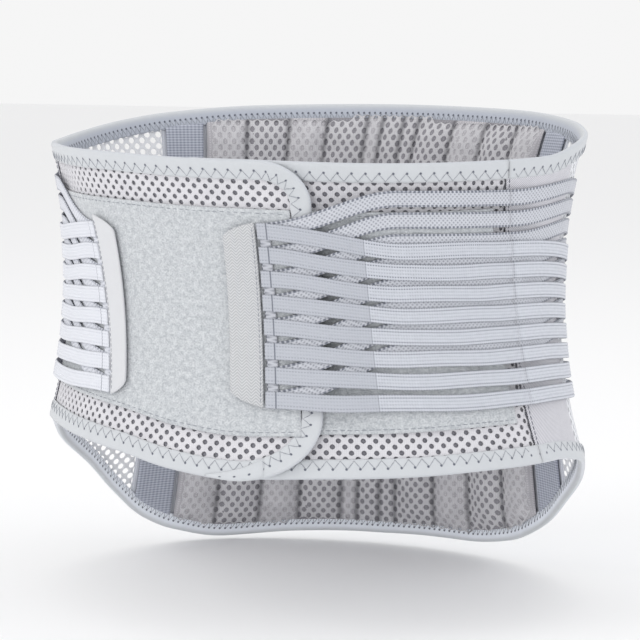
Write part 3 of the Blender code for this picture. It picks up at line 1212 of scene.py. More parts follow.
@dataclass(frozen=True)
class Binding:
    """Knitted tape folded over an edge and caught down with zigzag stitching."""

    track: Track
    cloth: float = 1.4
    wide: float = 8.6
    radius: float = 1.75
    wall: float = 0.75
    period: float = 6.7
    near_line: float = 4.1
    far_line: float = 8.0
    pucker: float = 0.16

    @property
    def section(self) -> list[tuple[float, float]]:
        """Corners of the folded tape's section, as (inward, off).

        Returns:
            The corners as (inward or across, off).
        """
        middle, r = self.cloth / 2, self.radius
        face = [(self.wide, 0.72), (self.wide * 0.96, 0.92), (self.wide * 0.85, 1.0), (self.wide * 0.68, 1.0),
                (self.wide * 0.5, 1.0), (self.wide * 0.33, 1.02)]
        outer = [(x, middle + r * k) for x, k in face]
        centre = r - 1.05
        nose = [(centre - r * math.sin(math.radians(d)), middle + r * math.cos(math.radians(d)))
                for d in (0, 30, 60, 90, 120, 150, 180)]
        inner = [(x, middle - r * k) for x, k in reversed(face)]
        fold = r - self.wall
        inside = [(self.wide, middle - fold), (centre, middle - fold), (centre, middle + fold),
                  (self.wide, middle + fold)]
        return outer + nose + inner + inside

    def tape(self, tailor: Tailor) -> bmesh.types.BMesh:
        """The tape's mesh.

        Args:
            tailor: makes the mesh.

        Returns:
            The closed mesh.
        """
        section = self.section
        runs = steps(0.0, float(self.track.lengths[-1]), 2.3)
        middle = self.cloth / 2

        def spot(i: int, j: int) -> Spot:
            """Place of one corner, drawn in a little where the stitches pull.

            Args:
                i: number of the station.
                j: number of the corner in the section.

            Returns:
                (angle, height, out).
            """
            inward, off = section[j]
            pull = self.pucker * math.cos(math.tau * runs[i] / self.period) * smooth(2.0, 6.0, inward)
            if abs(off - middle) > self.radius * 0.7 and inward > 2.0:
                off += math.copysign(pull, off - middle)
            if inward > self.wide * 0.9:
                inward += pull * 1.2
            return self.track.spot(runs[i], inward, off)

        def flat(i: int, j: int) -> tuple[float, float]:
            """Flat coordinates: along the edge, and in from it."""
            inward, off = section[j % len(section)]
            return runs[i], inward if off > middle else -inward

        return tailor.rolled(len(runs) - 1, len(section), spot, flat)

    def stitches(self, tailor: Tailor, face: int, period: float, slanted: bool = False) -> bmesh.types.BMesh:
        """Zigzag or slanted stitches on one face.

        Args:
            tailor: makes the mesh.
            face: 1 for the outer face and -1 for the inner one.
            period: millimetres from one stitch pair to the next.
            slanted: whether each return leg is short, so that the stitches slant.

        Returns:
            The thread's closed mesh.
        """
        total = float(self.track.lengths[-1]) - 1.0
        share = 0.78 if slanted else 0.5
        runs: list[tuple[float, float]] = []
        for k in range(int(total / period)):
            start = 0.5 + k * period
            for t in (0.0, 0.5):
                runs.append((start + period * share * t, t))
            for t in (0.0, 0.5):
                runs.append((start + period * (share + (1 - share) * t), 1.0 - t))
        points = []
        for run, t in runs:
            inward = self.near_line + (self.far_line - self.near_line) * t
            ease = 1.0 - 0.75 * abs(2 * t - 1) ** 3
            off = self.cloth / 2 + face * (self.radius + 0.02 + 0.2 * ease)
            points.append(self.track.spot(run, inward, off))
        return tailor.strand(points, 0.15, 4)


def lattice_inside(low: Callable[[float], float], high: Callable[[float], float], ends: tuple[float, float],
                   side: Side, margin: float) -> Callable[[float, float], bool]:
    """Test for the cells of a net.

    Args:
        low: low edge of the cloth by angle.
        high: high edge by angle.
        ends: unsigned angles of the cloth's ends.
        side: the side that the cloth is on.
        margin: millimetres kept clear of its edges.

    Returns:
        A test that takes a run and a height.
    """
    def inside(run: float, height: float) -> bool:
        """Whether a cell's middle lies on the cloth.

        Args:
            run: millimetres round the belt.
            height: height in millimetres.

        Returns:
            True where it is cloth.
        """
        angle = FORM.angle(run)
        if not ends[0] <= side * angle <= ends[1]:
            return False
        return low(angle) + margin < height < high(angle) - margin

    return inside


@dataclass
class Wing:
    """A front wing: stretch net, loop-pile panel, edge binding and its stitching."""

    side: Side
    end: float
    lift: Callable[[float], float]
    top_corner: tuple[float, float] = (9.0, 19.0)
    low_corner: tuple[float, float] = (9.0, 19.0)
    tail: float = 0.0
    net_thick: float = 0.85
    pile_low: float = 1.7
    pile_high: float = 3.0
    pile_top_inset: float = 23.0
    pile_low_inset: float = 20.5
    pile_start: float = 4.5
    pile_end: float = 3.9
    seam_angle: float = 114.0

    @property
    def hold(self) -> Hold:
        """The wing is held between the back and its own body, without a bend."""
        return Hold("back", f"{self.side.word}_wing", self.side)

    def cut(self, angle: float, corner: tuple[float, float]) -> float:
        """How much a rounded corner, given in degrees and millimetres, takes off at an angle."""
        t = min(max((abs(angle) - self.end) / corner[0] + 1.0, 0.0), 1.0)
        return corner[1] * (1.0 - math.sqrt(max(0.0, 1.0 - t * t)))

    def low(self, angle: float) -> float:
        """Low edge of the wing."""
        return FORM.low(angle) + self.cut(angle, self.low_corner)

    def high(self, angle: float) -> float:
        """High edge of the wing."""
        return FORM.top(angle) - self.cut(angle, self.top_corner)

    def lean(self, angle: float, height: float) -> float:
        """Angle of a wing column once it leans along the seam."""
        return SEAMS.on_wing(self.side, angle, height)

    def net(self, tailor: Tailor) -> bpy.types.Object:
        """The wing's stretch net.

        Args:
            tailor: makes the piece.

        Returns:
            The finished net.
        """
        name = self.side.word
        ends = (self.seam_angle, self.end)
        inside = lattice_inside(self.low, self.high, ends, self.side, 2.0)
        runs = (FORM.run(self.side * ends[0]), FORM.run(self.side * ends[1]))

        def spot(run: float, height: float) -> Spot:
            """Place of one corner of the net."""
            angle = FORM.angle(run)
            return self.lean(angle, height), height, self.lift(angle) + 1.1

        bm = tailor.net(runs, (-74.0, 87.0), inside, spot)
        piece = tailor.make(f"{name}_wing_net", bm, tailor.finishes.wing_net, closed=False)
        tailor.thicken(piece, self.net_thick)
        columns = steps(self.side * ends[0], self.side * self.end, 2.0)
        wide, tall, area = tailor.cut_area(columns, self.low, self.high)
        tailor.hang(piece, self.hold, f"{name}_wing_mesh", f"{name}_wing_mesh")
        return piece

    def backing(self, tailor: Tailor) -> bpy.types.Object:
        """The thin darker cloth behind the net.

        Args:
            tailor: makes the piece.

        Returns:
            The finished backing.
        """
        name = self.side.word
        first, last = self.side * (self.seam_angle + 0.6), self.side * (self.end - 0.3)
        wide = max(self.top_corner[0], self.low_corner[0])
        corner = self.side * (self.end - wide)
        turn = [corner + self.side * (wide - 0.3) * math.sin(math.radians(d)) for d in range(6, 91, 6)]
        angles = [*steps(first, corner, 1.6), *turn]

        def low(angle: float) -> float:
            """Low edge, under the binding."""
            return self.low(angle) + 1.6

        def high(angle: float) -> float:
            """High edge, under the binding."""
            return self.high(angle) - 1.6

        def levels(angle: float, height: float) -> tuple[float, float]:
            """Inner and outer side of the backing."""
            return self.lift(angle) - 0.1, self.lift(angle) + 0.15

        bm = tailor.sheet(angles, low, high, 5.0, levels, self.lean)
        piece = tailor.make(f"{name}_wing_backing", bm, tailor.finishes.wing_backing)
        wide, tall, area = tailor.cut_area(angles, low, high)
        tailor.hang(piece, self.hold, f"{name}_wing_mesh")
        return piece

    def pile(self, tailor: Tailor) -> bpy.types.Object:
        """The loop-pile panel.

        Args:
            tailor: makes the piece.

        Returns:
            The finished panel.
        """
        name = self.side.word
        first = self.side * (self.seam_angle + self.pile_start)
        last = self.side * (self.end - self.pile_end)
        angles = rim_steps(first, last, 1.1, 0.35)

        def low(angle: float) -> float:
            """Low edge of the panel."""
            return FORM.low(angle) + self.pile_low_inset

        def high(angle: float) -> float:
            """High edge of the panel."""
            return FORM.top(angle) - self.pile_top_inset

        def levels(angle: float, height: float) -> tuple[float, float]:
            """Inner and outer side of the pile, with its tufts standing unevenly.

            Args:
                angle: angle round the waist in degrees.
                height: height in millimetres.

            Returns:
                (inner, outer) distances out.
            """
            lift = self.lift(angle)
            place = Vector((FORM.run(angle), height, 0.0))
            tuft = noise.noise(place / 2.6) * 0.14 + noise.noise(place / 9.0) * 0.1
            return lift + self.pile_low, lift + self.pile_high + tuft

        bm = tailor.sheet(angles, low, high, 2.2, levels, self.lean)
        piece = tailor.make(f"{name}_loop_panel", bm, tailor.finishes.pile)
        wide, tall, area = tailor.cut_area(angles, low, high)
        tailor.hang(piece, self.hold, f"{name}_plush_panel", f"{name}_plush_panel")
        self.edge_stitch(tailor, low, high, first, last)
        return piece

    def edge_stitch(self, tailor: Tailor, low: Callable[[float], float], high: Callable[[float], float],
                    first: float, last: float) -> bpy.types.Object:
        """The row of straight stitches inside the pile panel's edge.

        Args:
            tailor: makes the piece.
            low: low edge of the panel.
            high: high edge of the panel.
            first: angle of its first column.
            last: angle of its last column.

        Returns:
            The finished stitching.
        """
        name = self.side.word
        parts = []
        for edge, inset in ((low, 2.0), (high, -2.0)):
            for k, start in enumerate(steps(first + self.side, last - self.side, 1.5)[:-1]):
                points = []
                for t in (0.0, 0.35, 0.7):
                    angle = start + self.side * 1.5 * t
                    height = edge(angle) + inset
                    rise = 0.12 if t == 0.35 else -0.12
                    level = self.lift(angle) + self.pile_high + rise
                    points.append((self.lean(angle, height), height, level))
                parts.append(tailor.strand(points, 0.2, 4))
        piece = tailor.make(f"{name}_panel_stitching", tailor.merged(parts), tailor.finishes.thread)
        return tailor.hang(piece, self.hold, f"{name}_plush_panel")

    def track(self) -> Track:
        """The line of the wing's bound edge.

        Returns:
            The track: out along the top, round the end and back along the bottom.
        """
        side, stop = self.side, self.side * self.end
        halves = []
        edges = ((FORM.top, self.top_corner, -1.0), (FORM.low, self.low_corner, 1.0))
        for line, (wide, tall), inward in edges:
            corner = stop - side * wide
            half = [(a, line(a), 0.0, inward) for a in steps(side * self.seam_angle, corner, 1.4)[:-1]]
            for d in range(0, 91, 9):
                s, c = math.sin(math.radians(d)), math.cos(math.radians(d))
                angle = corner + side * wide * s
                height = line(angle) + inward * tall * (1 - c)
                half.append((angle, height, -side * s * FORM.along(angle, 0.0), inward * c))
            halves.append(half)
        top, low = halves
        down = steps(top[-1][1], low[-1][1], 3.0)[1:-1]
        edge = [(stop, h, -side * FORM.along(stop, 0.0), 0.0) for h in down]
        return Track(tuple(top + edge + low[::-1]), self.lean, self.lift)

    def binding(self, tailor: Tailor) -> None:
        """The wing's edge binding with its stitching.

        Args:
            tailor: makes the pieces.
        """
        name = self.side.word
        binding = Binding(self.track())
        tape = tailor.make(f"{name}_wing_piping", binding.tape(tailor), tailor.finishes.piping)
        tailor.hang(tape, self.hold, f"{name}_wing_binding", f"{name}_wing_binding")
        if self.tail:
            self.tail_end(tailor, binding.wide)
        parts = [binding.stitches(tailor, face, 6.7) for face in (1, -1)]
        thread = tailor.make(f"{name}_wing_zigzag", tailor.merged(parts), tailor.finishes.thread)
        tailor.hang(thread, self.hold, f"{name}_wing_binding")

    def tail_end(self, tailor: Tailor, wide: float) -> None:
        """The binding's tapered end, sewn flat over its start on the low edge.

        Args:
            tailor: makes the piece.
            wide: width of the binding in millimetres.
        """
        start = self.end - self.low_corner[0] + 5.0
        angles = steps(start, start - self.tail, 0.8)
        section = ((0.0, 0.4), (0.04, 0.85), (0.3, 1.0), (0.7, 1.0),
                   (0.96, 0.85), (1.0, 0.4), (0.9, 0.0), (0.1, 0.0))

        def spot(i: int, j: int) -> Spot:
            """Place of one corner of the tail.

            Args:
                i: number of the station.
                j: number of the corner in the section.

            Returns:
                (angle, height, out).
            """
            across, level = section[j]
            angle = angles[i]
            share = (start - angle) / self.tail
            low = FORM.low(self.side * angle) + self.cut(angle, self.low_corner)
            low -= 0.9 * math.sin(math.pi * share)
            tall = 0.7 + wide * (1.0 - share) ** 0.85
            off = 1.75 + 0.75 * smooth(0.0, 0.2, share)
            return self.side * angle, low + tall * across, self.lift(angle) + off + 0.85 * level

        def flat(i: int, j: int) -> tuple[float, float]:
            """Flat coordinates: along the edge, and in from it."""
            return FORM.run(angles[i]), 0.6 + wide * section[j % len(section)][0]

        bm = tailor.rolled(len(angles) - 1, len(section), spot, flat)
        piece = tailor.make(f"{self.side.word}_wing_piping_tail", bm, tailor.finishes.piping)
        tailor.hang(piece, self.hold, f"{self.side.word}_wing_binding")

    def build(self, tailor: Tailor) -> None:
        """Build the whole wing.

        Args:
            tailor: makes the pieces.
        """
        self.net(tailor)
        self.backing(tailor)
        self.pile(tailor)
        self.binding(tailor)


@dataclass(frozen=True)
class Webbing:
    """The section of a strap: ribbed outside, plain inside."""

    width: float = 8.2
    thick: float = 1.0
    ribs: int = 5
    depth: float = 0.15

    @property
    def section(self) -> list[tuple[float, float]]:
        """Corners of the section, as (across, off) from its middle.

        Returns:
            The corners as (inward or across, off).
        """
        half, t = self.width / 2, self.thick / 2
        pitch = self.width / self.ribs
        outer = []
        for x in steps(-half + 0.25, half - 0.25, pitch / 4):
            outer.append((x, t - self.depth + self.depth * math.cos(math.tau * x / pitch)))
        inner = [(x, -t) for x in (half - 0.3, 0.0, -half + 0.3)]
        return [(-half, 0.0), *outer, (half, 0.0), *inner]


@dataclass
class Pull:
    """A side's pull: eight straps over their lower runs, a grip tab and its hook patch."""

    side: Side
    fold_top: float
    fold_pitch: float
    lift: Callable[[float], float]
    straps: int = 8
    seam_top: float = 39.4
    under_seam_top: float = 65.2
    seam_pitch: float = 10.7
    outer_level: float = 5.4
    under_level: float = 4.0
    block: float = 4.3
    hem: float = 2.4
    webbing: Webbing = Webbing()

    @property
    def hold(self) -> Hold:
        """The straps are held between the wing and the pull at the side seam, without a bend."""
        name = self.side.word
        return Hold(f"{name}_wing", f"{name}_pull", self.side, 0.0, 14.0)

    def fold(self, height: float) -> float:
        """Unsigned angle of the strap folds at a height."""
        return 173.0 if self.side is Side.RIGHT else 148.6 - 0.06 * height

    def height(self, seam_top: float, index: int, angle: float) -> float:
        """Centre height of a strap.

        Args:
            seam_top: height of the first strap at the side seam.
            index: number of the strap from the top, from 0.
            angle: unsigned angle.

        Returns:
            The height in millimetres.
        """
        t = smooth(0.0, 1.0, (self.fold(0.0) - angle) / 30.0)
        at_fold = self.fold_top - self.fold_pitch * index
        return at_fold + (seam_top - self.seam_pitch * index - at_fold) * t

    def strap(self, tailor: Tailor, index: int) -> bpy.types.Object:
        """One outer strap, with the block where it turns round the fold.

        Args:
            tailor: makes the piece.
            index: number of the strap from the top, from 0.

        Returns:
            The finished strap.
        """
        section = self.webbing.section
        middle = self.fold(0.0)
        length = abs(FORM.run(self.side * middle) - FORM.run(self.side * SEAMS.angle))
        turned = [0.0, 0.5, self.block - 0.5, self.block, self.block + 0.5]
        runs = [*turned, *steps(self.block + 1.6, length, 2.4)]

        def spot(i: int, j: int) -> Spot:
            """Place of one corner of the strap.

            Args:
                i: number of the station.
                j: number of the corner in the section.

            Returns:
                (angle, height, out).
            """
            across, off = section[j]
            share = runs[i] / length
            rough = middle + (SEAMS.angle - middle) * share
            sway = 0.3 * math.sin(rough * 0.21 + index * 2.1)
            sway *= smooth(0.0, 0.2, share) * smooth(1.0, 0.8, share)
            height = self.height(self.seam_top, index, rough) + across + sway
            first, last = self.fold(height), SEAMS.at(height) - 0.1
            angle = first + (last - first) * share
            block = 1.0 - smooth(self.block - 0.6, self.block + 0.5, runs[i])
            if off > 0:
                off += 0.28 * block
            elif off < 0 and runs[i] < self.block - 0.2:
                off -= 1.2
            if runs[i] < 0.2:
                off *= 0.6
            ripple = 0.1 * math.sin(rough * 0.5 + index * 1.3)
            return self.side * angle, height, self.lift(angle) + self.outer_level + off + ripple

        def flat(i: int, j: int) -> tuple[float, float]:
            """Flat coordinates: from the fold, and across from the strap's centre."""
            return runs[i], section[j % len(section)][0]

        bm = tailor.rolled(len(runs) - 1, len(section), spot, flat)
        finishes = tailor.finishes
        material = finishes.right_elastic if self.side is Side.RIGHT else finishes.left_elastic
        name = f"{self.side.word}_strap_{index + 1}"
        piece = tailor.make(f"{self.side.word}_elastic_{index + 1}", bm, material)
        return tailor.hang(piece, self.hold, name, name)

    def under(self, tailor: Tailor) -> bpy.types.Object:
        """The fan of lower runs with the hem that joins them at the fold.

        Args:
            tailor: makes the piece.

        Returns:
            The finished fan.
        """
        name = self.side.word
        section = Webbing(8.2, 0.9, 5, 0.06).section
        middle = self.fold(0.0) - 1.6
        length = abs(FORM.run(self.side * middle) - FORM.run(self.side * SEAMS.angle))
        runs = steps(0.0, length, 3.0)
        parts = []
        for index in range(self.straps):

            def spot(i: int, j: int, index: int = index) -> Spot:
                """Place of one corner of a lower run.

                Args:
                    i: number of the station.
                    j: number of the corner in the section.
                    index: number of the strap from the top, from 0.

                Returns:
                    (angle, height, out).
                """
                across, off = section[j]
                share = runs[i] / length
                rough = middle + (SEAMS.angle - middle) * share
                height = self.height(self.under_seam_top, index, rough) + across
                first, last = self.fold(height) - 1.6, SEAMS.at(height) - 0.1
                angle = first + (last - first) * share
                return self.side * angle, height, self.lift(angle) + self.under_level + off

            def flat(i: int, j: int) -> tuple[float, float]:
                """Flat coordinates: from the fold, and across from the centre."""
                return runs[i] + 30.0, section[j % len(section)][0]

            parts.append(tailor.rolled(len(runs) - 1, len(section), spot, flat))
        low = self.fold_top - self.fold_pitch * (self.straps - 1) - 4.1
        high = self.fold_top + 4.1
        heights = steps(low, high, 4.0)
        wide = self.hem - 0.3
        corners = ((0.3, 0.35), (wide, 0.35), (self.hem, 0.0), (wide, -0.5), (0.3, -0.5), (0.0, 0.0))

        def hem_spot(i: int, j: int) -> Spot:
            """Place of one corner of the hem.

            Args:
                i: number of the station.
                j: number of the corner in the section.

            Returns:
                (angle, height, out).
            """
            height = heights[i]
            angle = self.fold(height) - 0.1 - corners[j][0]
            return self.side * angle, height, self.lift(angle) + self.under_level + corners[j][1]

        parts.append(tailor.rolled(len(heights) - 1, len(corners), hem_spot,
                                   lambda i, j: (heights[i], j * 1.0)))
        finishes = tailor.finishes
        material = finishes.under_braid if self.side is Side.RIGHT else finishes.left_braid
        piece = tailor.make(f"{name}_lower_runs", tailor.merged(parts), material)
        return tailor.hang(piece, self.hold, f"{name}_under_straps", f"{name}_under_straps")

    def tab(self, tailor: Tailor, top: float, low: float, width: Callable[[float], float]) -> None:
        """The grip tab, its stitching and the hook patch on its inner face.

        Args:
            tailor: makes the pieces.
            top: height of the tab's top at the fold.
            low: height of its bottom there.
            width: degrees that it reaches past the fold, by height.
        """
        name = self.side.word
        finishes = tailor.finishes
        material = finishes.herringbone if self.side is Side.RIGHT else finishes.satin

        def panel(inset: float, start: float, last: float, levels: tuple[float, float]) -> bmesh.types.BMesh:
            """One layer of the tab, cut in from its outline.

            Args:
                inset: millimetres cut in from the outline.
                start: degrees past the fold where it begins.
                last: share of the width where it ends.
                levels: (inner, outer) distances out.

            Returns:
                The layer's closed mesh.
            """
            shares = [0.0, 0.04, *steps(0.1, 0.7, 0.1), 0.78, 0.85, 0.91, 0.955, 0.985, 1.0]
            shares = [s * last for s in shares]
            rows = rim_steps(0.0, 1.0, 0.05, 0.008)
            bm = tailor.grid(len(shares) - 1, len(rows) - 1)
            tailor.double(bm)

            def spot(co: Vector) -> Spot:
                """Place of one corner of the layer.

                Args:
                    co: its column, row and side in the flat grid.

                Returns:
                    (angle, height, out).
                """
                i, j = round(co.x), round(co.y)
                share = shares[i]
                trim = inset + 3.2 * share + 5.0 * (1.0 - math.sqrt(max(0.0, 1.0 - share * share)))
                high, deep = top - trim, low + trim
                height = deep + (high - deep) * rows[j]
                angle = self.fold(height) + start + (width(height) - start) * share * (1.0 - inset * 0.02)
                inner, outer = levels
                if i in (0, len(shares) - 1) or j in (0, len(rows) - 1):
                    inner, outer = inner + 0.35 * (outer - inner), outer - 0.35 * (outer - inner)
                return self.side * angle, height, self.lift(angle) + (outer if co.z > 0.5 else inner)

            return tailor.wrap(bm, spot)

        hold = Hold(f"{name}_tab")
        face = tailor.make(f"{name}_grip", panel(0.0, 0.45, 1.0, (4.8, 6.0)), material)
        tailor.hang(face, hold, f"{name}_tab", f"{name}_tab")
        patch = tailor.make(f"{name}_hook_patch", panel(2.5, 0.6, 0.93, (3.5, 4.4)), finishes.hooks)
        tailor.hang(patch, hold, f"{name}_tab_hooks", f"{name}_tab_hooks")
        parts = []
        heights = steps(low + 2.5, top - 2.5, 2.6)
        for first, last in zip(heights, heights[1:]):
            points = []
            for t, rise in ((0.08, -0.1), (0.45, 0.1), (0.82, -0.1)):
                height = first + (last - first) * t
                angle = self.fold(height) + 0.95
                points.append((self.side * angle, height, self.lift(angle) + 6.0 + rise))
            parts.append(tailor.strand(points, 0.2, 4))
        seam = tailor.make(f"{name}_grip_stitching", tailor.merged(parts), finishes.thread)
        tailor.hang(seam, hold, f"{name}_tab")

    def build(self, tailor: Tailor) -> None:
        """Build the straps and their lower runs.

        Args:
            tailor: makes the pieces.
        """
        for index in range(self.straps):
            self.strap(tailor, index)
        self.under(tailor)


@dataclass
class Lining:
    """The quilted lining: a padded layer sewn down in channels, under an open net."""

    channels: tuple[float, ...] = CHANNELS
    filled: tuple[tuple[float, float], ...] = (
        (-46.0, -35.7), (-25.3, -16.0), (-6.4, -2.6), (16.0, 25.3), (35.7, 46.0))
    back_level: float = -1.5
    seam_level: float = -2.6
    puff: float = 4.6
    most_swell: float = 3.0
    cell: float = 2.5
    edge: float = 6.9
    net_gap: float = 0.25
    net_reach: float = 16.0
    net_pitch: float = 3.7
    net_bar: float = 0.5
    net_stretch: float = 1.35
    frames: int = 18

    def columns(self) -> list[tuple[float, bool]]:
        """Column angles, and whether each is a sewn one.

        Returns:
            (angle, sewn) pairs from left to right.
        """
        found = []
        for first, last in zip(self.channels, self.channels[1:]):
            count = max(2, round((last - first) * 2.34 / self.cell))
            found += [(first + (last - first) * k / count, k == 0) for k in range(count)]
        return [*found, (self.channels[-1], True)]

    def puff_at(self, angle: float) -> float:
        """Share of the full puff at an angle, from 0 on a seam to 1 in a wide channel.

        Args:
            angle: angle round the waist in degrees.

        Returns:
            The share of the full puff.
        """
        for first, last in zip(self.channels, self.channels[1:]):
            if first <= angle <= last:
                wide = min(1.0, (last - first) / 9.0)
                share = min(max((angle - first) / (last - first), 0.0), 1.0)
                return wide * math.sqrt(math.sin(math.pi * share))
        return 0.0

    def low(self, angle: float) -> float:
        """Low edge of the lining."""
        return FORM.low(angle) + self.edge

    def high(self, angle: float) -> float:
        """High edge of the lining."""
        return FORM.top(angle) - self.edge

    def pad(self, tailor: Tailor) -> bpy.types.Object:
        """The padded layer, blown up between its seams.

        Args:
            tailor: makes the piece.

        Returns:
            The finished pad.
        """
        columns = self.columns()
        angles = [a for a, _ in columns]
        tallest = max(self.high(a) - self.low(a) for a in angles)
        rows = rim_steps(0.0, 1.0, self.cell / tallest, 1.2 / tallest)
        bm = tailor.grid(len(angles) - 1, len(rows) - 1)
        pinned_layer = bm.verts.layers.float.new("pinned")
        tailor.double(bm)
        tailor.order(bm)
        for vert in bm.verts:
            i, j = round(vert.co.x), round(vert.co.y)
            sewn = columns[i][1] or j in (0, 1, len(rows) - 1, len(rows) - 2) or vert.co.z > 0.5
            vert[pinned_layer] = 1.0 if sewn else 0.0

        def spot(co: Vector) -> Spot:
            """Place of one corner of the pad.

            Args:
                co: its column, row and side in the flat grid.

            Returns:
                (angle, height, out).
            """
            angle = angles[round(co.x)]
            share = rows[round(co.y)]
            height = self.low(angle) + (self.high(angle) - self.low(angle)) * share
            if co.z > 0.5:
                return angle, height, self.back_level
            crown = smooth(0.0, 0.05, share) * smooth(1.0, 0.95, share)
            rise = self.puff_at(angle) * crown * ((self.puff * 0.86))
            edge = 0.7 if round(co.y) in (0, len(rows) - 1) else 0.0
            return angle, height, self.seam_level + edge - rise

        for face in bm.faces:
            column = int(face.calc_center_median().x)
            angle = (angles[min(column, len(angles) - 2)] + angles[min(column + 1, len(angles) - 1)]) / 2
            face.material_index = int(any(a <= angle <= b for a, b in self.filled))
        tailor.wrap(bm, spot)
        piece = tailor.make("lining_pad", bm, tailor.finishes.lining_pad)
        piece.data.materials.append(tailor.finishes.filled_pad)
        self.blow(piece)
        rounder = piece.modifiers.new("Round", "SUBSURF")
        rounder.levels = rounder.render_levels = 1
        tailor.settle(piece)
        tailor.hang(piece, Hold("back"), "back_lining", "back_lining")
        return piece

    def blow(self, piece: bpy.types.Object) -> None:
        """Blow the pad up as cloth that is sewn down along its channels.

        Args:
            piece: the pad, whose "pinned" layer marks what is sewn.
        """
        mesh = piece.data
        before = np.array([v.co for v in mesh.vertices])
        weights = np.zeros(len(mesh.vertices), np.float32)
        mesh.attributes["pinned"].data.foreach_get("value", weights)
        group = piece.vertex_groups.new(name="sewn")
        group.add([k for k, w in enumerate(weights) if w > 0.5], 1.0, "REPLACE")
        cloth = piece.modifiers.new("Cloth", "CLOTH")
        cloth.settings.vertex_group_mass = "sewn"
        cloth.settings.quality = 5
        cloth.settings.mass = 0.15
        cloth.settings.tension_stiffness = 12.0
        cloth.settings.compression_stiffness = 12.0
        cloth.settings.bending_stiffness = 0.6
        cloth.settings.use_pressure = True
        cloth.settings.uniform_pressure_force = 8.0
        cloth.settings.shrink_min = -0.005
        cloth.settings.effector_weights.gravity = 0.0
        cloth.point_cache.frame_start = 1
        cloth.point_cache.frame_end = self.frames
        scene = bpy.context.scene
        for number in range(1, self.frames + 1):
            scene.frame_set(number)
        graph = bpy.context.evaluated_depsgraph_get()
        blown = piece.evaluated_get(graph).data
        after = np.array([v.co for v in blown.vertices])
        piece.modifiers.remove(cloth)
        scene.frame_set(1)
        move = after - before
        size = np.linalg.norm(move, axis=1, keepdims=True)
        move *= np.minimum(1.0, self.most_swell * MM / np.maximum(size, 1e-9))
        log.info("pad swelled by up to %.1f mm, %.1f mm on average", size.max() / MM, size.mean() / MM)
        mesh.vertices.foreach_set("co", (before + move).astype(np.float32).ravel())
        mesh.update()

    def net(self, tailor: Tailor, pad: bpy.types.Object) -> None:
        """The open net over the pad, in three widths.

        Args:
            tailor: makes the pieces.
            pad: the pad that it lies on.
        """
        bm = bmesh.new()
        bm.from_mesh(pad.data)
        surface = BVHTree.FromBMesh(bm)
        bm.free()

        def spot(run: float, height: float) -> Spot:
            """Place of one corner of the net, just inside the pad's face.

            Args:
                run: millimetres round the belt.
                height: height in millimetres.

            Returns:
                (angle, height, out).
            """
            angle = FORM.angle(run)
            start = FORM.place(angle, height, -self.net_reach)
            way = FORM.place(angle, height, 0.0) - start
            hit = surface.ray_cast(start, way.normalized())[3]
            reach = self.net_reach * hit / way.length if hit else 12.7
            return angle, height, -self.net_reach + reach - self.net_gap

        runs = (FORM.run(self.channels[0]), FORM.run(self.channels[-1]))
        ends = (-45.2, -16.0, 16.0, 45.2)
        for word, first, last in zip(("left", "middle", "right"), ends, ends[1:]):

            def inside(run: float, height: float, first: float = first, last: float = last) -> bool:
                """Whether a cell's middle lies on this width."""
                angle = FORM.angle(run)
                return first <= angle < last and self.low(angle) + 0.3 < height < self.high(angle) - 0.3

            mesh = tailor.net(runs, (-150.0, 100.0), inside, spot,
                              self.net_pitch, self.net_bar, self.net_stretch)
            bmesh.ops.reverse_faces(mesh, faces=mesh.faces[:])
            piece = tailor.make(f"lining_net_{word}", mesh, tailor.finishes.lining_net, closed=False)
            tailor.thicken(piece, 0.45)
            tailor.hang(piece, Hold("back"), "back_lining")
            wide, tall, area = tailor.cut_area(steps(first, last, 2.0), self.low, self.high)

    def build(self, tailor: Tailor) -> None:
        """Build the pad and the net over it."""
        pad = self.pad(tailor)
        self.net(tailor, pad)


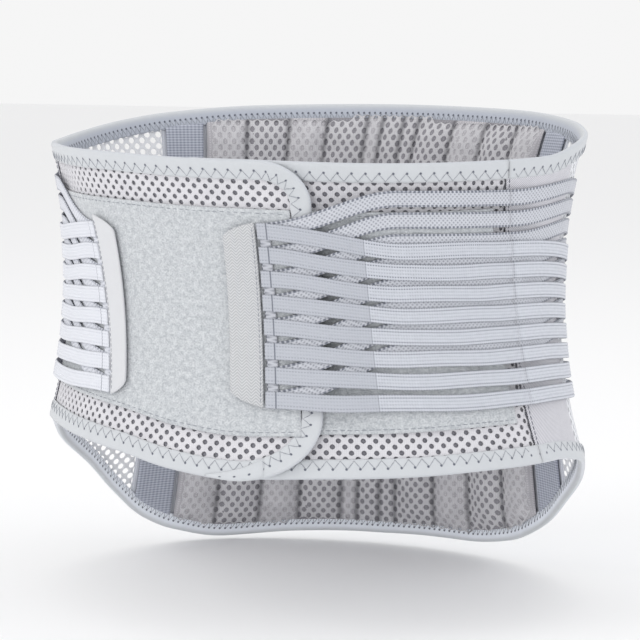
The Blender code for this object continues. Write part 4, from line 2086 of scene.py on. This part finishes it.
@dataclass
class Back:
    """The back: cloth panel, side nets, tapes, rear strap runs, seams and bindings."""

    panel_end: float = 58.0
    panel_thick: float = 1.4
    net_thick: float = 0.55
    net_pitch: float = 4.6
    net_bar: float = 0.36
    rear_outer_top: float = 20.0
    rear_under_top: float = 62.0
    rear_pitch: float = 9.7
    seam_top: float = 39.4
    under_seam_top: float = 65.2
    seam_pitch: float = 10.7
    anchor: float = 25.8
    under_anchor: float = 32.2
    anchor_width: float = 3.5
    rear_fall: float = 1.5
    under_hump: float = 4.5
    stays: tuple[float, ...] = (-36.0, -16.0, 16.0, 36.0)

    @staticmethod
    def inset_low(angle: float) -> float:
        """Low edge of a tape that ends under the binding."""
        return FORM.low(angle) + 7.2

    @staticmethod
    def inset_high(angle: float) -> float:
        """High edge of a tape that ends under the binding."""
        return FORM.top(angle) - 7.2

    def panel(self, tailor: Tailor) -> None:
        """The plain back cloth with the stitching of the stay channels.

        Args:
            tailor: makes the pieces.
        """
        angles = rim_steps(-self.panel_end, self.panel_end, 1.6, 0.3)

        def levels(angle: float, height: float) -> tuple[float, float]:
            """Inner and outer side, raised a little over each stay.

            Args:
                angle: angle round the waist in degrees.
                height: height in millimetres.

            Returns:
                (inner, outer) distances out.
            """
            bump = sum(0.5 * (smooth(3.4, 1.6, abs(angle - s))) for s in self.stays)
            place = Vector((FORM.run(angle), height, 0.0))
            return 0.1, self.panel_thick + bump * 0.6 + noise.noise(place / 24.0) * 0.2

        bm = tailor.sheet(angles, lambda a: FORM.low(a) + 1.2, lambda a: FORM.top(a) - 1.2, 4.0, levels)
        piece = tailor.make("back_cloth", bm, tailor.finishes.back_cloth)
        tailor.hang(piece, Hold("back"), "back_panel", "back_panel")
        wide, tall, area = tailor.cut_area(angles, FORM.low, FORM.top)
        parts = []
        for stay in self.stays:
            for side in (-1, 1):
                angle = stay + side * 3.4
                heights = steps(self.inset_low(angle) + 6.0, self.inset_high(angle) - 6.0, 3.0)
                for first, last in zip(heights, heights[1:]):
                    points = [(angle, first + (last - first) * t, self.panel_thick + rise)
                              for t, rise in ((0.08, -0.1), (0.45, 0.12), (0.8, -0.1))]
                    parts.append(tailor.strand(points, 0.2, 4))
        thread = tailor.make("stay_stitching", tailor.merged(parts), tailor.finishes.thread)
        tailor.hang(thread, Hold("back"), "back_panel")

    def side_net(self, tailor: Tailor, side: Side) -> None:
        """The see-through side net.

        Args:
            tailor: makes the piece.
            side: which side.
        """
        name = side.word
        ends = (self.panel_end - 0.6, SEAMS.angle)
        inside = lattice_inside(FORM.low, FORM.top, ends, side, 2.0)
        runs = (FORM.run(side * ends[0]), FORM.run(side * ends[1]))

        def spot(run: float, height: float) -> Spot:
            """Place of one corner of the net."""
            return SEAMS.on_back(side, FORM.angle(run), height), height, 1.1

        bm = tailor.net(runs, (-132.0, 100.0), inside, spot, self.net_pitch, self.net_bar)
        piece = tailor.make(f"{name}_side_net", bm, tailor.finishes.side_net, closed=False)
        tailor.thicken(piece, self.net_thick)
        tailor.hang(piece, Hold("back"), f"{name}_side_mesh", f"{name}_side_mesh")
        wide, tall, area = tailor.cut_area(steps(side * ends[0], side * ends[1], 2.0), FORM.low, FORM.top)

    def tapes(self, tailor: Tailor, side: Side) -> None:
        """The outer twill tape at the side seam, the inner tape and the seam's own tape.

        Args:
            tailor: makes the pieces.
            side: which side.
        """
        name = side.word

        def lean(angle: float, height: float) -> float:
            """Angle of a column that leans along the seam."""
            return SEAMS.on_back(side, angle, height)

        rows = (
            ("twill_tape", "outer_tape", 90.0, SEAMS.angle + 0.5, (1.45, 2.05), lean, "outer_twill"),
            ("ribbed_tape", "inner_tape", 46.8, 57.2, (-1.9, -0.7), None, "inner_weave"),
            ("seam_facing", "", SEAMS.angle - 1.6, SEAMS.angle + 0.9, (-0.6, 0.0), lean, "seam_tape"),
        )
        for word, ending, first, last, (inner, outer), shift, finish in rows:
            node = f"{name}_{ending}" if ending else ""
            angles = rim_steps(side * first, side * last, 1.6, 0.3)
            bm = tailor.sheet(angles, self.inset_low, self.inset_high, 3.0,
                              lambda a, h, low=inner, high=outer: (low, high), shift)
            piece = tailor.make(f"{name}_{word}", bm, getattr(tailor.finishes, finish))
            slot = node or f"{name}_side_mesh"
            tailor.hang(piece, Hold("back"), slot, *([node] if node else []))
            wide, tall, area = tailor.cut_area(angles, self.inset_low, self.inset_high)
        parts = []
        heights = steps(self.inset_low(side * 114.0) + 1.0, self.inset_high(side * 114.0) - 1.0, 2.6)
        for first, last in zip(heights, heights[1:]):
            points = []
            for t, rise in ((0.05, -0.1), (0.42, 0.16), (0.82, -0.1)):
                height = first + (last - first) * t
                points.append((lean(side * (SEAMS.angle - 0.3), height), height, 2.05 + rise))
            parts.append(tailor.strand(points, 0.26, 4))
        thread = tailor.make(f"{name}_seam_stitching", tailor.merged(parts), tailor.finishes.dark_thread)
        tailor.hang(thread, Hold("back"), f"{name}_outer_tape")

    def rear_runs(self, tailor: Tailor, side: Side, outer: bool) -> None:
        """The straps' rear runs and the tape that anchors them.

        Args:
            tailor: makes the piece.
            side: which side.
            outer: whether these are the outer runs.
        """
        name = side.word
        level = 5.3 if outer else 4.0
        anchor = self.anchor if outer else self.under_anchor
        rear_top = self.rear_outer_top if outer else self.rear_under_top
        seam_top = self.seam_top if outer else self.under_seam_top
        section = Webbing(8.2, 1.0 if outer else 0.9, 5, 0.15 if outer else 0.06).section
        last = SEAMS.angle + 0.2
        length = FORM.run(last) - FORM.run(anchor - self.anchor_width)
        runs = steps(0.0, length, 3.0)
        parts = []
        for index in range(8):

            def spot(i: int, j: int, index: int = index) -> Spot:
                """Place of one corner of a rear run.

                Args:
                    i: number of the station.
                    j: number of the corner in the section.
                    index: number of the strap from the top, from 0.

                Returns:
                    (angle, height, out).
                """
                across, off = section[j]
                column = FORM.angle(FORM.run(anchor - self.anchor_width) + runs[i])
                share = smooth(anchor, SEAMS.angle, column)
                at_rear = rear_top - self.rear_pitch * index
                at_seam = seam_top - self.seam_pitch * index
                arch = math.sin(math.pi * smooth(60.0, SEAMS.angle, column))
                hump = 0.0 if outer else self.under_hump * arch
                height = at_rear + (at_seam - at_rear) * share + across + hump
                ripple = 0.12 * math.sin(column * 0.4 + index * 1.7)
                settled = (1.0 - smooth(99.0, SEAMS.angle - 1.0, column)) * self.rear_fall
                return SEAMS.on_back(side, side * column, height), height, level + off + ripple - settled

            def flat(i: int, j: int) -> tuple[float, float]:
                """Flat coordinates: from the anchor, and across from the centre."""
                return runs[i] + 60.0, section[j % len(section)][0]

            parts.append(tailor.rolled(len(runs) - 1, len(section), spot, flat))
        finishes = tailor.finishes
        material = finishes.rear_elastic if outer else finishes.under_braid
        node = f"{name}_rear_straps" if outer else f"{name}_rear_under_straps"
        word = "elastics" if outer else "lower_runs"
        piece = tailor.make(f"{name}_rear_{word}", tailor.merged(parts), material)
        tailor.hang(piece, Hold("back"), node, node)
        low = rear_top - self.rear_pitch * 7 - 5.5
        high = rear_top + 5.5
        angles = rim_steps(side * (anchor - self.anchor_width - 0.4), side * (anchor + 0.6), 1.2, 0.3)
        bm = tailor.sheet(angles, lambda a: low, lambda a: high, 3.0,
                          lambda a, h: (level - 0.85, level - 0.15))
        tape = tailor.make(f"{name}_{'anchor' if outer else 'lower_anchor'}_tape", bm, finishes.satin)
        tailor.hang(tape, Hold("back"), node)

    def bindings(self, tailor: Tailor) -> None:
        """The top and bottom bindings of the back with their stitching.

        Args:
            tailor: makes the pieces.
        """
        around = steps(-SEAMS.angle, SEAMS.angle, 1.4)

        def lean(angle: float, height: float) -> float:
            """Angle of a column that leans along the nearer seam."""
            side = Side.RIGHT if angle > 0 else Side.LEFT
            return SEAMS.on_back(side, angle, height)

        for word, edge, rise in (("top", FORM.top, -1.0), ("bottom", FORM.low, 1.0)):
            track = Track(tuple((a, edge(a), 0.0, rise) for a in around), lean, no_lift)
            binding = Binding(track, period=3.4)
            node = f"back_{word}_binding"
            # the bottom binding takes the copy whose inner face carries painted light
            material = tailor.finishes.piping if word == "top" else tailor.finishes.lit_low_piping
            tape = tailor.make(f"back_{word}_piping", binding.tape(tailor), material)
            tailor.hang(tape, Hold("back"), node, node)
            parts = [binding.stitches(tailor, 1, 6.7), binding.stitches(tailor, -1, 3.4, slanted=True)]
            thread = tailor.make(f"back_{word}_zigzag", tailor.merged(parts), tailor.finishes.thread)
            tailor.hang(thread, Hold("back"), node)

    def build(self, tailor: Tailor) -> None:
        """Build the whole back.

        Args:
            tailor: makes the pieces.
        """
        self.panel(tailor)
        for side in Side:
            self.side_net(tailor, side)
            self.tapes(tailor, side)
            self.rear_runs(tailor, side, outer=True)
            self.rear_runs(tailor, side, outer=False)
        self.bindings(tailor)


@dataclass
class Studio:
    """Floor, soft light and camera."""

    azimuth: float = 20.76
    elevation: float = 6.22
    distance: float = 1.2057
    focal: float = 2227.1
    frame_width: float = 640.0
    roll: float = 0.58
    aim: tuple[float, float] = (8.3, -14.3)
    floor_height: float = -0.1582

    def camera(self) -> None:
        """Place the camera."""
        a, e, r = (math.radians(x) for x in (self.azimuth, self.elevation, self.roll))
        forward = Vector((-math.sin(a) * math.cos(e), math.cos(a) * math.cos(e), -math.sin(e)))
        level = Vector((math.cos(a), math.sin(a), 0.0))
        up = level.cross(forward)
        right = level * math.cos(r) + up * math.sin(r)
        up = right.cross(forward)
        place = forward * -self.distance
        look = (forward + (right * self.aim[0] + up * self.aim[1]) / self.focal).normalized()
        right = (right - look * right.dot(look)).normalized()
        up = right.cross(look)
        data = bpy.data.cameras.new("camera")
        data.lens = self.focal * data.sensor_width / self.frame_width
        camera = bpy.data.objects.new("camera", data)
        turn = Matrix((right, up, -look)).transposed().to_4x4()
        camera.matrix_world = Matrix.Translation(place) @ turn
        bpy.context.scene.collection.objects.link(camera)
        bpy.context.scene.camera = camera

    def light(self, name: str, place: Spot, size: float, power: float, colour: Colour) -> None:
        """Add one soft light aimed at the belt.

        Args:
            name: the light's name.
            place: where it stands, in metres.
            size: side of its square face in metres.
            power: its power in watts.
            colour: its colour.
        """
        data = bpy.data.lights.new(name, "AREA")
        data.size = size
        data.energy = power
        data.color = colour
        lamp = bpy.data.objects.new(name, data)
        lamp.location = place
        lamp.rotation_euler = (-Vector(place)).to_track_quat("-Z", "Y").to_euler()
        bpy.context.scene.collection.objects.link(lamp)

    def floor(self) -> None:
        """A plain pale floor."""
        bm = bmesh.new()
        bm.loops.layers.uv.new("flat")
        move = Matrix.Translation((0.0, 0.0, self.floor_height))
        bmesh.ops.create_grid(bm, x_segments=1, y_segments=1, size=12.0, matrix=move)
        mesh = bpy.data.meshes.new("floor")
        bm.to_mesh(mesh)
        bm.free()
        floor = bpy.data.objects.new("floor", mesh)
        bpy.context.scene.collection.objects.link(floor)
        material = bpy.data.materials.new("floor")
        material.use_nodes = True
        shader = material.node_tree.nodes["Principled BSDF"]
        shader.inputs["Base Color"].default_value = (0.93, 0.93, 0.935, 1.0)
        shader.inputs["Roughness"].default_value = 0.9
        shader.inputs["Specular IOR Level"].default_value = 0.1
        mesh.materials.append(material)
        floor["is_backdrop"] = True

    def build(self) -> None:
        """Build the whole studio."""
        self.camera()
        self.floor()
        self.light("key", (-1.2, -1.3, 1.2), 0.9, 7.7, (1.0, 0.99, 0.97))
        self.light("fill", (1.8, 0.0, 0.6), 1.3, 7.0, (0.95, 0.97, 1.0))
        self.light("crown", (0.1, 0.2, 1.8), 1.4, 2.5, (1.0, 1.0, 1.0))
        self.light("low", (-0.2, -1.7, 0.03), 0.36, 4.2, (1.0, 1.0, 1.0))
        world = bpy.data.worlds.new("studio")
        world.use_nodes = True
        sky = world.node_tree.nodes["Background"]
        sky.inputs["Color"].default_value = (1.0, 1.0, 1.0, 1.0)
        sky.inputs["Strength"].default_value = 0.92
        bpy.context.scene.world = world
        bpy.context.scene.view_settings.view_transform = "Standard"


def closure(tailor: Tailor) -> None:
    """The hook strip on the inner face of the left wing's end.

    Args:
        tailor: makes the piece.
    """
    angles = rim_steps(-192.6, -168.0, 1.6, 0.3)

    def low(angle: float) -> float:
        """Low edge of the strip."""
        return FORM.low(angle) + 26.0

    def high(angle: float) -> float:
        """High edge of the strip."""
        return FORM.top(angle) - 29.0

    bm = tailor.sheet(angles, low, high, 3.0, lambda a, h: (3.45, 4.4))
    piece = tailor.make("closure_hook_strip", bm, tailor.finishes.hooks)
    tailor.hang(piece, Hold("left_wing"), "closure_hooks", "closure_hooks")
    wide, tall, area = tailor.cut_area(angles, low, high)


def stays(tailor: Tailor) -> None:
    """Give the stays their moulded finish.

    Args:
        tailor: holds the finishes.
    """
    for number in range(1, 5):
        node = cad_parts[f"stay_{number}"]
        for slot in node.material_slots:
            slot.material = tailor.finishes.stay


def main() -> None:
    """Build the belt piece by piece, then the studio."""
    logging.basicConfig(level=logging.INFO, format="%(name)s %(message)s")
    tailor = Tailor(FORM, Finishes())
    left = Wing(Side.LEFT, 197.6, left_lift, low_corner=(16.0, 31.0), tail=11.5)
    right = Wing(Side.RIGHT, 195.0, no_lift)
    Back().build(tailor)
    Lining().build(tailor)
    for wing in (left, right):
        wing.build(tailor)
    right_pull = Pull(Side.RIGHT, 48.6, 11.8, pull_lift)
    left_pull = Pull(Side.LEFT, 44.6, 11.15, left_lift)
    for pull in (right_pull, left_pull):
        pull.build(tailor)
    right_pull.tab(tailor, 52.8, -38.0, lambda height: 7.2)
    left_pull.tab(tailor, 52.5, -38.2, lambda height: 5.6 + 0.028 * height)
    closure(tailor)
    stays(tailor)
    Studio().build()
    boxes = [[list(corner) for corner in box] for box in (CAD_BOX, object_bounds())]


if __name__ == "__main__":
    main()
